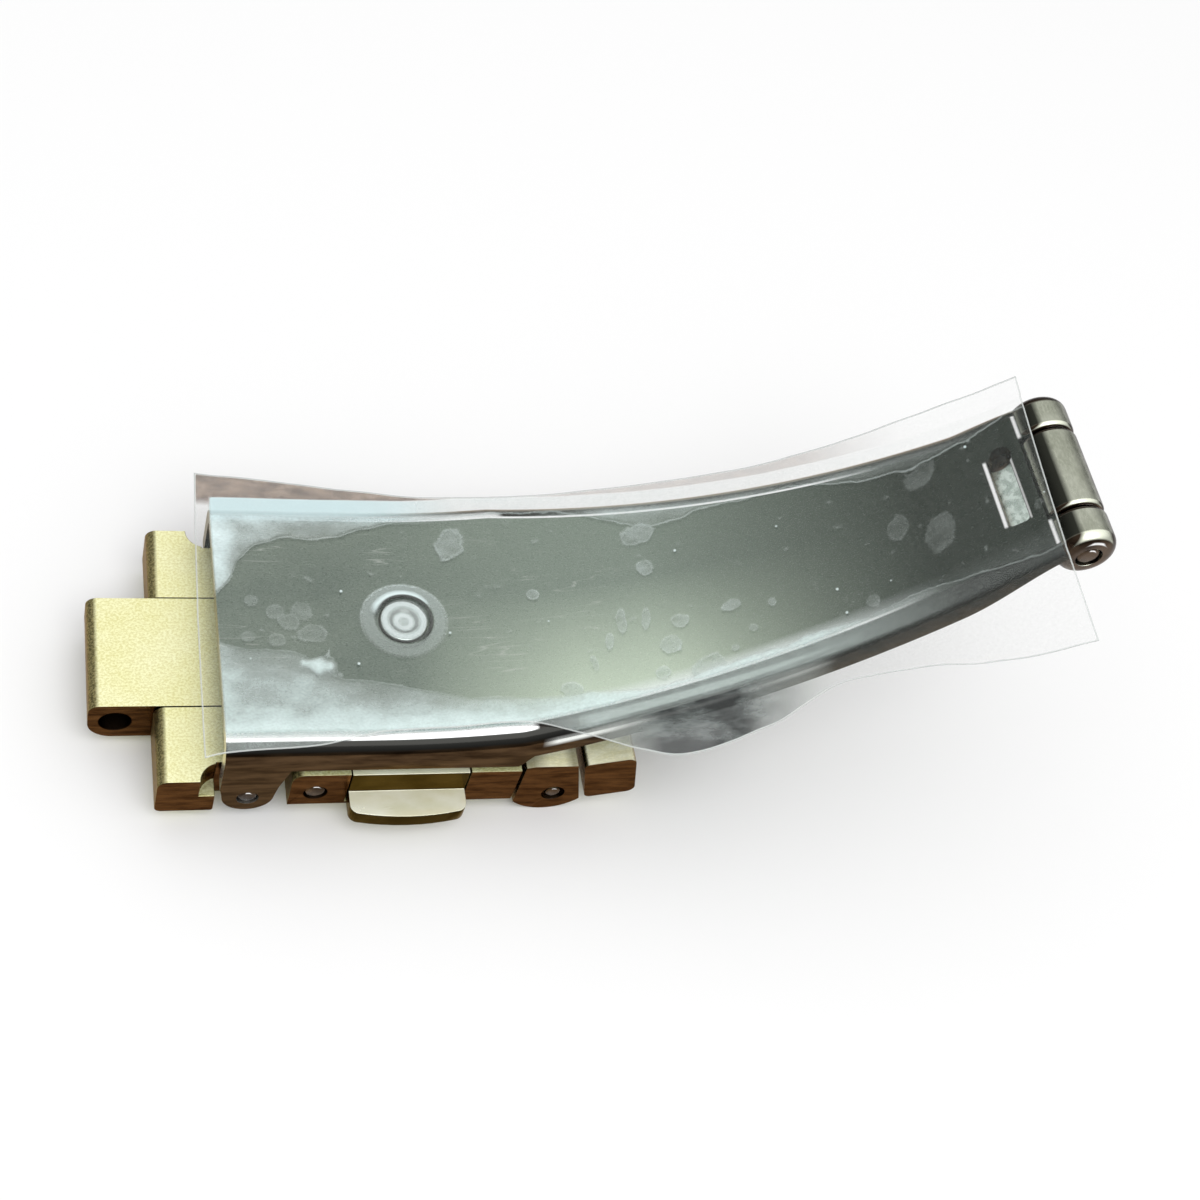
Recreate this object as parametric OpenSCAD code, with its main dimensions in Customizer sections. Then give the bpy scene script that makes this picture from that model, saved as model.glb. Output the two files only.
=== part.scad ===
// Push-button folding clasp for a watch bracelet, closed and lying on its outer side.
// The origin is on the cover's outer face, right under the latch stud.
// +X runs along the band towards the main hinge, +Y across the band, +Z towards the wrist.

/* [Band] */
// Width of the clasp across the band
band_w = 16; // [15:0.5:20]
// Width of the centre row of the links
row_w = 6.9; // [6.4:0.1:7.2]
// Gap between neighbouring rows of a link
row_gap = 0.06; // [0.04:0.01:0.1]
// Radial clearance of a pin in its bore
fit_gap = 0.03; // [0.02:0.01:0.05]
// Sideways clearance between pieces that turn past each other
side_gap = 0.1; // [0.06:0.01:0.15]

/* [Cover block] */
// Distance from the stud to the block's left end
block_left = 6.25; // [6.1:0.05:6.6]
// Distance from the stud to the block's right end
block_right = 6; // [5.9:0.05:6.6]
// Thickness of the block
block_t = 3.3; // [3.1:0.05:3.4]
// Radius of the block's upper left edge
block_top_r = 0.7; // [0.6:0.05:0.9]
// Radius of the block's lower left edge
block_low_r = 0.35; // [0.3:0.05:0.6]
// Chamfer on the block's long lower edges
block_chamfer = 0.3; // [0.1:0.05:0.4]
// Width of the grooves that divide the outer face into rows
groove_w = 0.3; // [0.2:0.05:0.4]
// Depth of these grooves
groove_d = 0.2; // [0.1:0.05:0.25]

/* [Cover hinge] */
// Distance from the block's left end to the cover hinge
cover_pin_inset = 1.35; // [1.3:0.05:1.5]
// Height of the cover hinge above the outer face
cover_pin_z = 1.5; // [1.45:0.01:1.55]
// Diameter of the cover hinge pin
cover_pin_d = 1.2; // [1:0.05:1.3]
// Radius of the middle blade's eye
cover_eye_r = 1.1; // [1:0.02:1.14]

/* [Inner blade] */
// Height of the blade's flat wrist side above the cover's outer face
flat_z = 5.7; // [5.65:0.05:6]
// Thickness of the sheet
plate_t = 0.8; // [0.6:0.05:0.85]
// Radius of the wrist side's curve
curve_r = 48; // [44:1:60]
// Place along the band where the curve starts
curve_x = -2; // [-3:0.5:-1]
// Angle of the curve from its start to the main hinge
curve_a = 45.9; // [40:0.1:48]
// Distance from the stud to the blade's left end
blade_left = 9.9; // [9.85:0.05:10.2]
// Place along the band where the taper starts
taper_x = 5.5; // [5:0.1:6]
// Width of the blade at the main hinge
tip_w = 9.6; // [9.4:0.1:11]
// Thickness of the side walls
wall_t = 0.8; // [0.6:0.05:0.9]
// Height of the side walls along the taper
wall_h = 1.8; // [1.3:0.1:1.9]
// Clearance between the block and the deep walls over it
wall_gap = 0.35; // [0.3:0.05:0.4]

/* [Main hinge] */
// Diameter of the hinge barrel
barrel_d = 3.3; // [3.1:0.1:3.6]
// Depth of the barrel's axis below the blade's wrist side
barrel_drop = 1.42; // [1.3:0.02:1.5]
// Width of the whole barrel
barrel_w = 10; // [9.8:0.1:10.6]
// Width of the middle knuckle
knuckle_w = 5.2; // [4.8:0.1:5.6]
// Rounding of the barrel's outer ends
barrel_round = 0.7; // [0.4:0.05:0.75]
// Rounding of the knuckles' edges where they meet
knuckle_round = 0.3; // [0.15:0.05:0.35]
// Diameter of the main hinge pin
main_pin_d = 1.4; // [1.2:0.1:1.6]

/* [Window] */
// Width of the window beside the middle knuckle
window_w = 4.5; // [4:0.1:4.8]
// Length of the window
window_l = 1.2; // [1:0.05:1.4]
// Distance from the main hinge's axis back to the window's middle
window_back = 2.5; // [2.5:0.05:3.4]
// Diameter of the round hole at the window's far end
sight_d = 1.4; // [1:0.1:1.5]
// Distance from the window's middle to that hole, towards the main hinge
sight_x = 0.3; // [0.2:0.05:0.5]

/* [Middle blade] */
// Width of the middle blade
mid_w = 7.6; // [7.2:0.1:7.8]
// Thickness of the middle blade
mid_t = 0.9; // [0.7:0.05:1]
// Gap between the inner blade and the middle blade
blade_gap = 0.2; // [0.15:0.01:0.25]

/* [End link] */
// Distance from the stud to the end link's hinge
end_pin_x = 8.4; // [8.35:0.01:8.45]
// Height of the end link's hinge
end_pin_z = 1.1; // [1.05:0.01:1.2]
// Diameter of the end link's hinge pin
end_pin_d = 1.1; // [0.9:0.05:1.2]
// Radius of the ears around that pin
ear_r = 1.35; // [1.2:0.01:1.4]
// Thickness of the end link
link_t = 3; // [2.8:0.05:3.1]
// Height of the end link's outer face
link_z = -0.1; // [-0.2:0.05:0]
// Length of the side rows along the band
side_l = 3; // [2.8:0.1:3.4]
// Gap between the side rows and the ears
ear_gap = 0.2; // [0.18:0.01:0.25]
// Distance that the centre row's tab stands out past the side rows
tab_out = 3.3; // [3:0.1:3.6]
// Diameter of the bore in the tab
tab_bore_d = 1.7; // [1.2:0.1:1.8]
// Distance from the tab's end to its bore
tab_bore_in = 1.4; // [1.35:0.05:1.6]
// Radius of the links' upper edges
link_edge_r = 0.6; // [0.4:0.05:0.8]
// Radius of the tab's lower edge
tab_low_r = 1.3; // [0.8:0.1:1.4]
// Diameter of the pin that joins the end link's rows
cross_pin_d = 1; // [0.8:0.05:1.1]

/* [Cover end piece] */
// Gap between the block and the end piece
end_piece_gap = 0.2; // [0.1:0.05:0.25]
// Length of the end piece at its top
end_piece_top = 2.86; // [2.7:0.02:3]
// Length of the end piece at its foot
end_piece_foot = 3.8; // [3.6:0.05:4]
// Height of the end piece's top
end_piece_z = 3.7; // [3.5:0.05:3.9]
// Radius of its domed outer face
dome_r = 2.45; // [2.35:0.05:2.6]
// Depth of the dome below the cover's outer face
dome_drop = 0.85; // [0.7:0.05:0.9]
// Distance from the end piece's left face to the dome's middle
dome_in = 1.8; // [1.6:0.05:2]

/* [Last link] */
// Distance from the stud to the last link's hinge
last_pin_x = 8.3; // [8.2:0.05:8.4]
// Height of the last link's hinge
last_pin_z = 0.8; // [0.75:0.01:0.9]
// Diameter of its hinge pin
last_pin_d = 0.9; // [0.8:0.05:1]
// Diameter of the recess around the pin's ends
last_recess_d = 1.3; // [1.1:0.05:1.4]
// Tilt of the last link as it rests
last_tilt = 13.5; // [10:0.5:15]
// Length of the last link
last_l = 2.85; // [2.7:0.05:3.4]
// Thickness of the last link
last_t = 3.6; // [3.4:0.05:3.7]
// Distance from the hinge to the last link's near face
last_reach = 1.76; // [1.72:0.01:1.85]
// Diameter of the bore that takes the next link's pin
last_bore_d = 1.1; // [0.9:0.05:1.2]

/* [Latch] */
// Diameter of the stud's shank
stud_d = 1.5; // [1.3:0.1:1.6]
// Diameter of the stud's neck
neck_d = 1.1; // [0.9:0.05:1.2]
// Diameter of the stud's locking head
stud_head_d = 2; // [1.8:0.05:2.1]
// Height of the stud's foot above the outer face
stud_foot_z = 1.3; // [1.25:0.05:1.4]
// Diameter of the rivet head on the wrist side
rivet_d = 2.8; // [2.4:0.1:3]
// Height of the rivet head
rivet_h = 0.2; // [0.1:0.02:0.2]
// Diameter of the latch wires
wire_d = 0.4; // [0.3:0.02:0.4]
// Length of the latch wires
wire_l = 8.2; // [8:0.1:8.8]
// Length of the wires' ends that rest on the cover's ledges
wire_seat = 0.6; // [0.5:0.05:0.8]
// Thickness of the retaining plate
cap_t = 0.5; // [0.4:0.05:0.55]

/* [Push buttons] */
// Length of a button along the band
button_l = 6.3; // [5.6:0.1:6.4]
// Travel of a button
button_travel = 0.8; // [0.6:0.05:0.85]
// Depth of a button's pocket from the block's side
pocket_l = 3.3; // [3.2:0.05:3.4]
// Clearance around a button in its opening
button_gap = 0.08; // [0.05:0.01:0.1]
// Height of a button's foot above the outer face
button_z = 0.56; // [0.5:0.02:0.6]
// Thickness of the lip that the finger presses
lip_t = 1; // [0.8:0.05:1.1]
// Distance that the lip stands out at its ends
lip_out = 1.25; // [1:0.05:1.3]
// Further bow of the lip at its middle
lip_bow = 0.35; // [0.2:0.05:0.5]
// Rounding of the lip's front corners
lip_round = 0.55; // [0.3:0.05:0.7]
// Diameter of the return springs
spring_d = 1.15; // [1:0.05:1.2]
// Depth of the springs' bores below the floor of the pocket
spring_bore_l = 2.05; // [1.9:0.05:2.2]
// Diameter of the springs' wire
spring_wire_d = 0.18; // [0.14:0.01:0.2]
// Turns of a return spring
spring_turns = 5; // [4:0.5:5.5]

/* [Protective film] */
// Thickness of the film
film_t = 0.1; // [0.06:0.01:0.15]
// Height of the film above the blade
film_lift = 0.27; // [0.26:0.01:0.32]

/* [Hidden] */
$fn = 64;

// Colours
GOLD = [0.93, 0.87, 0.60];
GOLD_POLISHED = [0.96, 0.93, 0.75];
STEEL = [0.60, 0.64, 0.61];
STEEL_DARK = [0.42, 0.44, 0.42];
FILM = [0.80, 0.92, 0.92, 0.4];

// Overrun of a cut past the face that it opens
cut = 0.5;
half_w = band_w / 2;
half_row = row_w / 2;
// Facets of the large blade arcs
arc_fn = 360;
// Reach of the wedges that pick out a stretch of arc
wedge_l = curve_r * 2;

// Places of the hinge axes
curve_z = flat_z + curve_r;
barrel_arm = curve_r + barrel_drop;
barrel_x = curve_x + barrel_arm * sin(curve_a);
barrel_z = curve_z - barrel_arm * cos(curve_a);
barrel_r = barrel_d / 2;
cover_pin_x = -block_left + cover_pin_inset;
ear_x = -end_pin_x;

// Depths of the middle blade's faces under the wrist side
mid_top = plate_t + blade_gap;
mid_low = mid_top + mid_t;
wall_low_z = block_t + wall_gap;
knuckle_clear = 0.15;
// Angle of the arc that the barrel and its clearance take up
barrel_clear_a = asin(sqrt(pow(barrel_r + knuckle_clear, 2) - pow(barrel_drop - mid_low, 2)) / barrel_arm);

// Arms of the block's cavity
pocket_in = half_w - pocket_l;
channel_w = 3.1;
flange_out = 0.6;
flange_t = 0.7;
button_back = pocket_in + 0.9;
front_t = 0.95;
ledge_in = wire_l / 2 - wire_seat;
well_floor = stud_foot_z - 0.15;
wire_z = 2.45;
wire_x = neck_d / 2 + wire_d / 2 + 0.02;
stud_drift = 1.05;
stud_slot_r = stud_head_d / 2 + 0.15;
spring_x = 2.35;
spring_z = 1.65;
spring_in = pocket_in - spring_bore_l;
spring_bore_d = spring_d + 0.15;

// Retaining plate and its screws
cap_left = 5.2;
cap_right = 5.2;
cap_half = half_w - 1.15;
screw_head_r = 0.7;
screw_r = 0.38;
screw_slot = 0.2;
screw_y = cap_half - 1.25;
screws = [[4.5, 4, 1.9], [4.5, -4, 1.9], [-4.45, screw_y, 1], [-4.45, -screw_y, 1]];

// End piece and its dowels
end_x = block_right + end_piece_gap;
dowel_d = 1;
dowel_y = half_w - 1.6;
dowel_z = 1.65;
dowel_in = 1.6;
dowel_out = 1.3;

// The film clears the knuckles and the rivet head
film_z = max(film_lift, barrel_r - barrel_drop + 0.04, rivet_h + 0.05);
film_left = -blade_left - 1.1;
film_l = curve_x + (curve_r - film_z) * sin(curve_a) - film_left;
// Run of the film's edges: share of its length, distance out from the nominal edge
FILM_NEAR = [
    [0, 0], [0.134, -0.7], [0.215, -1.3], [0.39, -1.4], [0.455, -0.4], [0.513, 0.7],
    [0.589, 1.3], [0.668, 0.8], [0.746, -0.3], [0.832, 0.2], [0.943, 1.8], [0.99, 2.1]
];
FILM_FAR = [
    [0.998, -3.1], [0.91, -2.8], [0.721, -2.6], [0.529, -1.9], [0.374, -1.5], [0.203, -0.8],
    [0.012, 0], [-0.002, -3.6]
];

module across(w) {
    rotate([90, 0, 0])
        linear_extrude(height = w, center = true)
            children();
}

module across_from(y0, y1) {
    translate([0, max(y0, y1), 0])
        rotate([90, 0, 0])
            linear_extrude(height = abs(y1 - y0))
                children();
}

module pin_along(x, z, r, w) {
    translate([x, 0, z])
        rotate([90, 0, 0])
            cylinder(r = r, h = w, center = true);
}

module box(x0, x1, y0, y1, z0, z1) {
    translate([x0, y0, z0])
        cube([x1 - x0, y1 - y0, z1 - z0]);
}

module both_sides() {
    children();
    mirror([0, 1, 0])
        children();
}

// A rectangle with its own radius at each corner, from the lower left one anticlockwise
module corner_rect(x0, z0, x1, z1, r) {
    difference() {
        translate([x0, z0])
            square([x1 - x0, z1 - z0]);
        corner_cut(x0, z0, 1, 1, r[0]);
        corner_cut(x1, z0, -1, 1, r[1]);
        corner_cut(x1, z1, -1, -1, r[2]);
        corner_cut(x0, z1, 1, -1, r[3]);
    }
}

module corner_cut(x, z, sx, sz, r) {
    if (r > 0)
        translate([x, z])
            scale([sx, sz])
                difference() {
                    translate([-cut, -cut])
                        square([r + cut, r + cut]);
                    translate([r, r])
                        circle(r = r);
                }
}

module slot_shape(x0, x1, r) {
    translate([x0 + r, -r])
        square([x1 - x0 - 2 * r, 2 * r]);
    for (x = [x0 + r, x1 - r])
        translate([x, 0])
            circle(r = r);
}

// The blade's arc, from depth s0 to depth s1 under its wrist side, up to the angle a1
module arc_shape(s0, s1, a1) {
    intersection() {
        translate([curve_x, curve_z])
            difference() {
                circle(r = curve_r + s1, $fn = arc_fn);
                circle(r = curve_r + s0, $fn = arc_fn);
            }
        polygon([
            [curve_x, curve_z],
            [curve_x, curve_z - wedge_l],
            [curve_x + wedge_l * sin(a1), curve_z - wedge_l * cos(a1)]
        ]);
    }
}

module blade_shape(s0, s1, x0, a1) {
    translate([x0, flat_z - s1])
        square([curve_x - x0, s1 - s0]);
    arc_shape(s0, s1, a1);
}

// Plan of the tapering blade, with its sides moved in by the inset
module blade_plan(inset, x0, x1) {
    slope = (band_w - tip_w) / 2 / (barrel_x - taper_x);
    tip = half_w - slope * (x1 - taper_x) - inset;
    wide = half_w - inset;
    translate([0, 0, -barrel_z])
        linear_extrude(height = barrel_z * 3)
            polygon([
                [x0, -wide], [taper_x, -wide], [x1, -tip],
                [x1, tip], [taper_x, wide], [x0, wide]
            ]);
}

// Side of the blade: the ear around the end link's pin and the deep wall behind it
module blade_side_shape() {
    ear_right = ear_x + ear_r;
    wall_x = ear_right + 0.6;
    slant = 1.3;
    polygon([
        [-blade_left, flat_z - plate_t / 2], [-blade_left, end_pin_z + 0.8], [ear_x - ear_r, end_pin_z],
        [ear_right, end_pin_z], [ear_right + 0.15, end_pin_z + 0.9], [wall_x, wall_low_z],
        [taper_x - 0.2, wall_low_z], [taper_x - 0.2 + slant, flat_z - plate_t / 2]
    ]);
    translate([ear_x, end_pin_z])
        circle(r = ear_r);
}

module knuckle(y0, y1, round_in, round_out) {
    w = y1 - y0;
    translate([barrel_x, y0, barrel_z])
        rotate([-90, 0, 0])
            rotate_extrude()
                intersection() {
                    corner_rect(-barrel_r, 0, barrel_r, w, [round_in, round_in, round_out, round_out]);
                    square([barrel_r + cut, w]);
                }
}

module inner_blade() {
    wall_a = curve_a - barrel_clear_a - 0.3;
    wall_gap_y = knuckle_w / 2 + side_gap;
    color(STEEL)
        difference() {
            union() {
                intersection() {
                    union() {
                        across(band_w)
                            blade_shape(0, plate_t, -blade_left, curve_a - 0.4);
                        difference() {
                            across(band_w)
                                blade_shape(plate_t / 2, wall_h, -blade_left, wall_a);
                            blade_plan(wall_t, -blade_left - cut, barrel_x + cut);
                        }
                    }
                    blade_plan(0, -blade_left, barrel_x);
                }
                both_sides()
                    across_from(half_w - wall_t, half_w)
                        blade_side_shape();
                both_sides()
                    knuckle(wall_gap_y, barrel_w / 2, knuckle_round, barrel_round);
            }
            pin_along(ear_x, end_pin_z, end_pin_d / 2 + fit_gap, band_w + 2 * cut);
            pin_along(barrel_x, barrel_z, main_pin_d / 2 + fit_gap, barrel_w + 2 * cut);
            pin_along(barrel_x, barrel_z, barrel_r + knuckle_clear, 2 * wall_gap_y);
            // Hole of the stud, spot-faced for its rivet head where the curve rises
            translate([0, 0, flat_z - plate_t - cut])
                cylinder(d = stud_d + 2 * fit_gap, h = plate_t + 2 * cut);
            translate([0, 0, flat_z])
                cylinder(d = rivet_d + 2 * fit_gap, h = cut);
            window_cut(window_l, window_w);
            sight_hole();
        }
}

module window_place() {
    window_a = curve_a - asin(window_back / curve_r);
    translate([curve_x, 0, curve_z])
        rotate([0, -window_a, 0])
            translate([0, 0, -curve_r])
                children();
}

module window_cut(l, w) {
    window_place()
        translate([0, 0, -plate_t - blade_gap / 2])
            linear_extrude(height = plate_t + cut)
                corner_rect(-l / 2, -w / 2, l / 2, w / 2, [0.2, 0.2, 0.2, 0.2]);
}

// Round hole at the window's far end
module sight_hole() {
    window_place()
        translate([sight_x, window_w / 2 - 0.1, -plate_t - blade_gap / 2])
            cylinder(d = sight_d, h = plate_t + cut);
}

module latch_stud() {
    neck_top = wire_z + wire_d / 2 + 0.1;
    neck_low = wire_z - wire_d / 2 - 0.05;
    head_r = stud_head_d / 2;
    rivet_r = rivet_d / 2;
    top = flat_z + rivet_h;
    color(STEEL)
        rotate_extrude()
            polygon([
                [0, stud_foot_z], [head_r - 0.3, stud_foot_z], [head_r, stud_foot_z + 0.4],
                [head_r, neck_low], [neck_d / 2, neck_low], [neck_d / 2, neck_top],
                [stud_d / 2, neck_top + 0.1], [stud_d / 2, flat_z], [rivet_r, flat_z],
                [rivet_r - 0.15, top], [rivet_r - 0.55, top], [rivet_r - 0.8, flat_z + rivet_h / 4],
                [0.2, flat_z + rivet_h / 4], [0, flat_z]
            ]);
}

module main_hinge_pin() {
    color(STEEL_DARK)
        pin_along(barrel_x, barrel_z, main_pin_d / 2, barrel_w - 0.1);
}

module end_link_pin() {
    color(GOLD_POLISHED)
        pin_along(ear_x, end_pin_z, end_pin_d / 2, band_w - 0.1);
}

// Film laid over the wrist side; its edges wander past the blade's
module film_plan() {
    polygon(concat(
        [for (p = FILM_NEAR) [film_left + p[0] * film_l, -half_w - 0.4 - p[1]]],
        [for (p = FILM_FAR) [film_left + p[0] * film_l, half_w + 1.6 + p[1]]]
    ));
}

module protective_film() {
    color(FILM)
        intersection() {
            across(band_w * 2)
                blade_shape(-film_z - film_t, -film_z, film_left - 1, curve_a);
            translate([0, 0, flat_z - 1])
                linear_extrude(height = barrel_z)
                    film_plan();
        }
}

// The link's side outline: a long body with a round end behind its pin
module link_shape(x0, low_r) {
    end_r = link_t / 2;
    end_cx = ear_x - 0.3;
    translate([end_cx, link_z + end_r])
        circle(r = end_r);
    corner_rect(x0, link_z, end_cx, link_z + link_t, [low_r, 0, 0, link_edge_r]);
}

side_right = -blade_left - ear_gap;
side_left = side_right - side_l;
tab_left = side_left - tab_out;
tab_bore_x = tab_left + tab_bore_in;
link_mid_z = link_z + link_t / 2;
cross_pin_x = side_left + 1.2;
tongue_half = half_w - wall_t - 0.35;

module end_link_bores() {
    pin_along(ear_x, end_pin_z, end_pin_d / 2 + fit_gap, band_w + 2 * cut);
    translate([0, half_w + cut, 0])
        rotate([90, 0, 0])
            translate([cross_pin_x, link_mid_z, 0])
                cylinder(d = cross_pin_d + 2 * fit_gap, h = band_w + cut - 1.4);
}

module end_link_centre() {
    color(GOLD)
        difference() {
            across(row_w - row_gap)
                link_shape(tab_left, tab_low_r);
            end_link_bores();
            pin_along(tab_bore_x, link_mid_z, tab_bore_d / 2, band_w);
        }
}

module end_link_side(side) {
    cove_r = 1.1;
    color(GOLD)
        difference() {
            union() {
                across_from(side * (half_row + row_gap / 2), side * tongue_half)
                    link_shape(side_left, 0.35);
                across_from(side * (tongue_half - 0.01), side * half_w)
                    corner_rect(side_left, link_z, side_right, link_z + link_t, [0.35, 0.15, 0, link_edge_r]);
            }
            translate([side_right + 0.25, side * half_w, end_pin_z + 0.3])
                cylinder(r = cove_r, h = link_t);
            end_link_bores();
        }
}

module end_link_side_near() {
    end_link_side(-1);
}

module end_link_side_far() {
    end_link_side(1);
}

module end_link_cross_pin() {
    color(STEEL_DARK)
        translate([cross_pin_x, half_w - 0.05, link_mid_z])
            rotate([90, 0, 0])
                cylinder(d = cross_pin_d, h = band_w - 1.5);
}

module middle_blade() {
    neck_x = cover_pin_x - cover_eye_r;
    bend_r = mid_t + 0.2;
    wide_a = curve_a - barrel_clear_a - 0.2;
    slot_left = -stud_head_d / 2 - 1.9;
    color(STEEL)
        difference() {
            union() {
                across(mid_w) {
                    intersection() {
                        blade_shape(mid_top, mid_low, neck_x, wide_a);
                        corner_rect(neck_x, 0, barrel_x, flat_z - mid_top, [0, 0, 0, bend_r]);
                    }
                    corner_rect(neck_x, cover_pin_z, neck_x + mid_t, flat_z - mid_top, [0, 0, 0, bend_r]);
                    translate([cover_pin_x, cover_pin_z])
                        circle(r = cover_eye_r);
                    arc_shape(mid_top, mid_low, wide_a);
                }
                across(knuckle_w)
                    arc_shape(mid_top, mid_low, curve_a);
                knuckle(-knuckle_w / 2, knuckle_w / 2, knuckle_round, knuckle_round);
            }
            pin_along(cover_pin_x, cover_pin_z, cover_pin_d / 2 + fit_gap, mid_w + 2 * cut);
            pin_along(barrel_x, barrel_z, main_pin_d / 2 + fit_gap, knuckle_w + 2 * cut);
            translate([0, 0, flat_z - mid_low - cut])
                linear_extrude(height = mid_t + 2 * cut)
                    slot_shape(slot_left, stud_slot_r, stud_slot_r);
        }
}

module cover_hinge_pin() {
    color(GOLD_POLISHED)
        pin_along(cover_pin_x, cover_pin_z, cover_pin_d / 2, band_w - 0.1);
}

// Room for one button: its opening, the wider pocket of its flange and its spring bores
module button_pocket() {
    x = button_l / 2 + button_gap;
    z0 = button_z - button_gap;
    box(-x, x, pocket_in, half_w + cut, z0, block_t + cut);
    box(-x - flange_out, x + flange_out, pocket_in, button_back + flange_t + 0.05,
        z0 + 0.4, block_t - cap_t);
    for (sx = [-spring_x, spring_x])
        translate([sx, pocket_in + cut, spring_z])
            rotate([90, 0, 0])
                cylinder(d = spring_bore_d, h = pocket_in + cut - spring_in);
}

module cover_block() {
    cap_z = block_t - cap_t;
    slot_half = mid_w / 2 + side_gap;
    slot_r = cover_eye_r + 0.1;
    ledge_z = wire_z - wire_d / 2 - 0.01;
    chan = channel_w / 2;
    color(GOLD)
        difference() {
            across(band_w)
                corner_rect(-block_left, 0, block_right, block_t, [block_low_r, 0, 0, block_top_r]);
            // Chamfers along the lower edges
            for (side = [-1, 1])
                translate([0, side * half_w, 0])
                    rotate([45, 0, 0])
                        cube([band_w * 2, block_chamfer * sqrt(2), block_chamfer * sqrt(2)], center = true);
            // Grooves between the rows
            for (side = [-1, 1])
                box(-block_left - cut, block_right + cut, side * half_row - groove_w / 2,
                    side * half_row + groove_w / 2, -cut, groove_d);
            // Slot of the middle blade's eye
            across(2 * slot_half) {
                translate([cover_pin_x, cover_pin_z])
                    circle(r = slot_r);
                translate([-block_left - cut, cover_pin_z - slot_r])
                    square([cover_pin_x + block_left + cut, block_t + cut]);
                translate([cover_pin_x - cut, cover_pin_z])
                    square([slot_r + cut, block_t]);
            }
            pin_along(cover_pin_x, cover_pin_z, cover_pin_d / 2 + fit_gap, band_w + 2 * cut);
            both_sides()
                button_pocket();
            // Channel of the wires, deep around the stud and shallow under the wires' ends
            box(-chan, chan, -pocket_in - 0.1, pocket_in + 0.1, ledge_z, block_t + cut);
            box(-chan, chan, -ledge_in, ledge_in, well_floor, block_t + cut);
            box(-stud_slot_r - stud_drift, stud_slot_r, -stud_slot_r, stud_slot_r, well_floor, block_t + cut);
            // Seat of the retaining plate
            box(-cap_left - side_gap, cap_right + side_gap, -cap_half - side_gap, cap_half + side_gap,
                cap_z, block_t + cut);
            for (s = screws)
                translate([s.x, s.y, cap_z - s.z + cap_t])
                    cylinder(r = screw_r + fit_gap, h = s.z + cut);
            both_sides()
                translate([block_right - dowel_in - side_gap, dowel_y, dowel_z])
                    rotate([0, 90, 0])
                        cylinder(d = dowel_d + 2 * fit_gap, h = dowel_in + cut);
        }
}

module retaining_plate() {
    cap_z = block_t - cap_t;
    slot_half = mid_w / 2 + side_gap;
    notch_x = button_l / 2 + button_gap + 0.05;
    notch_y = half_w - front_t - button_travel - 0.05;
    eye_x = cover_pin_x + cover_eye_r + 0.1;
    color(STEEL)
        difference() {
            box(-cap_left, cap_right, -cap_half, cap_half, cap_z, block_t);
            box(-block_left, eye_x, -slot_half, slot_half, 0, block_t + cut);
            both_sides()
                box(-notch_x, notch_x, notch_y, half_w, 0, block_t + cut);
            translate([0, 0, cap_z - cut])
                linear_extrude(height = cap_t + 2 * cut)
                    slot_shape(-stud_slot_r - stud_drift, stud_slot_r, stud_slot_r);
            for (s = screws)
                translate([s.x, s.y, 0]) {
                    cylinder(r = screw_r + fit_gap, h = block_t + cut);
                    translate([0, 0, block_t - screw_head_r + screw_r])
                        cylinder(r1 = screw_r + fit_gap, r2 = screw_head_r + fit_gap, h = screw_head_r - screw_r);
                }
        }
}

module plate_screws() {
    color(STEEL_DARK)
        for (s = screws)
            difference() {
                translate([s.x, s.y, 0])
                    rotate_extrude()
                        polygon([
                            [0, block_t - s.z + 0.05], [screw_r, block_t - s.z + 0.05],
                            [screw_r, block_t - screw_head_r + screw_r], [screw_head_r, block_t], [0, block_t]
                        ]);
                box(s.x - screw_head_r - cut, s.x + screw_head_r + cut, s.y - screw_slot / 2,
                    s.y + screw_slot / 2, block_t - 0.15, block_t + cut);
            }
}

module latch_wires() {
    color(STEEL)
        for (side = [-1, 1])
            pin_along(side * wire_x, wire_z, wire_d / 2, wire_l);
}

module cover_end_piece() {
    dome_cx = end_x + dome_in;
    dome_cz = dome_r - dome_drop;
    slot_half = half_row + row_gap;
    slot_r = 1.2;
    slot_low = 0.7;
    slot_high = 1.35;
    color(GOLD)
        difference() {
            intersection() {
                across(band_w)
                    polygon([
                        [end_x, -dome_r], [end_x, end_piece_z - 0.15], [end_x + 0.5, end_piece_z],
                        [end_x + end_piece_top, end_piece_z], [end_x + end_piece_foot, 0],
                        [end_x + end_piece_foot, -dome_r]
                    ]);
                across(band_w + cut) {
                    translate([dome_cx, dome_cz])
                        circle(r = dome_r);
                    translate([0, dome_cz])
                        square([last_pin_x * 2, end_piece_z]);
                }
            }
            for (side = [-1, 1])
                translate([0, side * half_row, 0])
                    across(groove_w)
                        intersection() {
                            translate([dome_cx, dome_cz])
                                difference() {
                                    circle(r = dome_r + 1);
                                    circle(r = dome_r - groove_d);
                                }
                            translate([0, -dome_r])
                                square([last_pin_x * 2, dome_r + groove_d]);
                        }
            across(2 * slot_half) {
                translate([last_pin_x, last_pin_z])
                    circle(r = slot_r);
                translate([last_pin_x, last_pin_z - slot_low])
                    square([dome_r * 2, slot_low + slot_high]);
            }
            pin_along(last_pin_x, last_pin_z, last_pin_d / 2 + fit_gap, band_w + 2 * cut);
            for (side = [-1, 1])
                translate([last_pin_x, side * half_w, last_pin_z])
                    rotate([90, 0, 0])
                        cylinder(d = last_recess_d, h = 0.4, center = true);
            both_sides()
                translate([end_x - cut, dowel_y, dowel_z])
                    rotate([0, 90, 0])
                        cylinder(d = dowel_d + 2 * fit_gap, h = dowel_out + cut + side_gap);
        }
}

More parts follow.
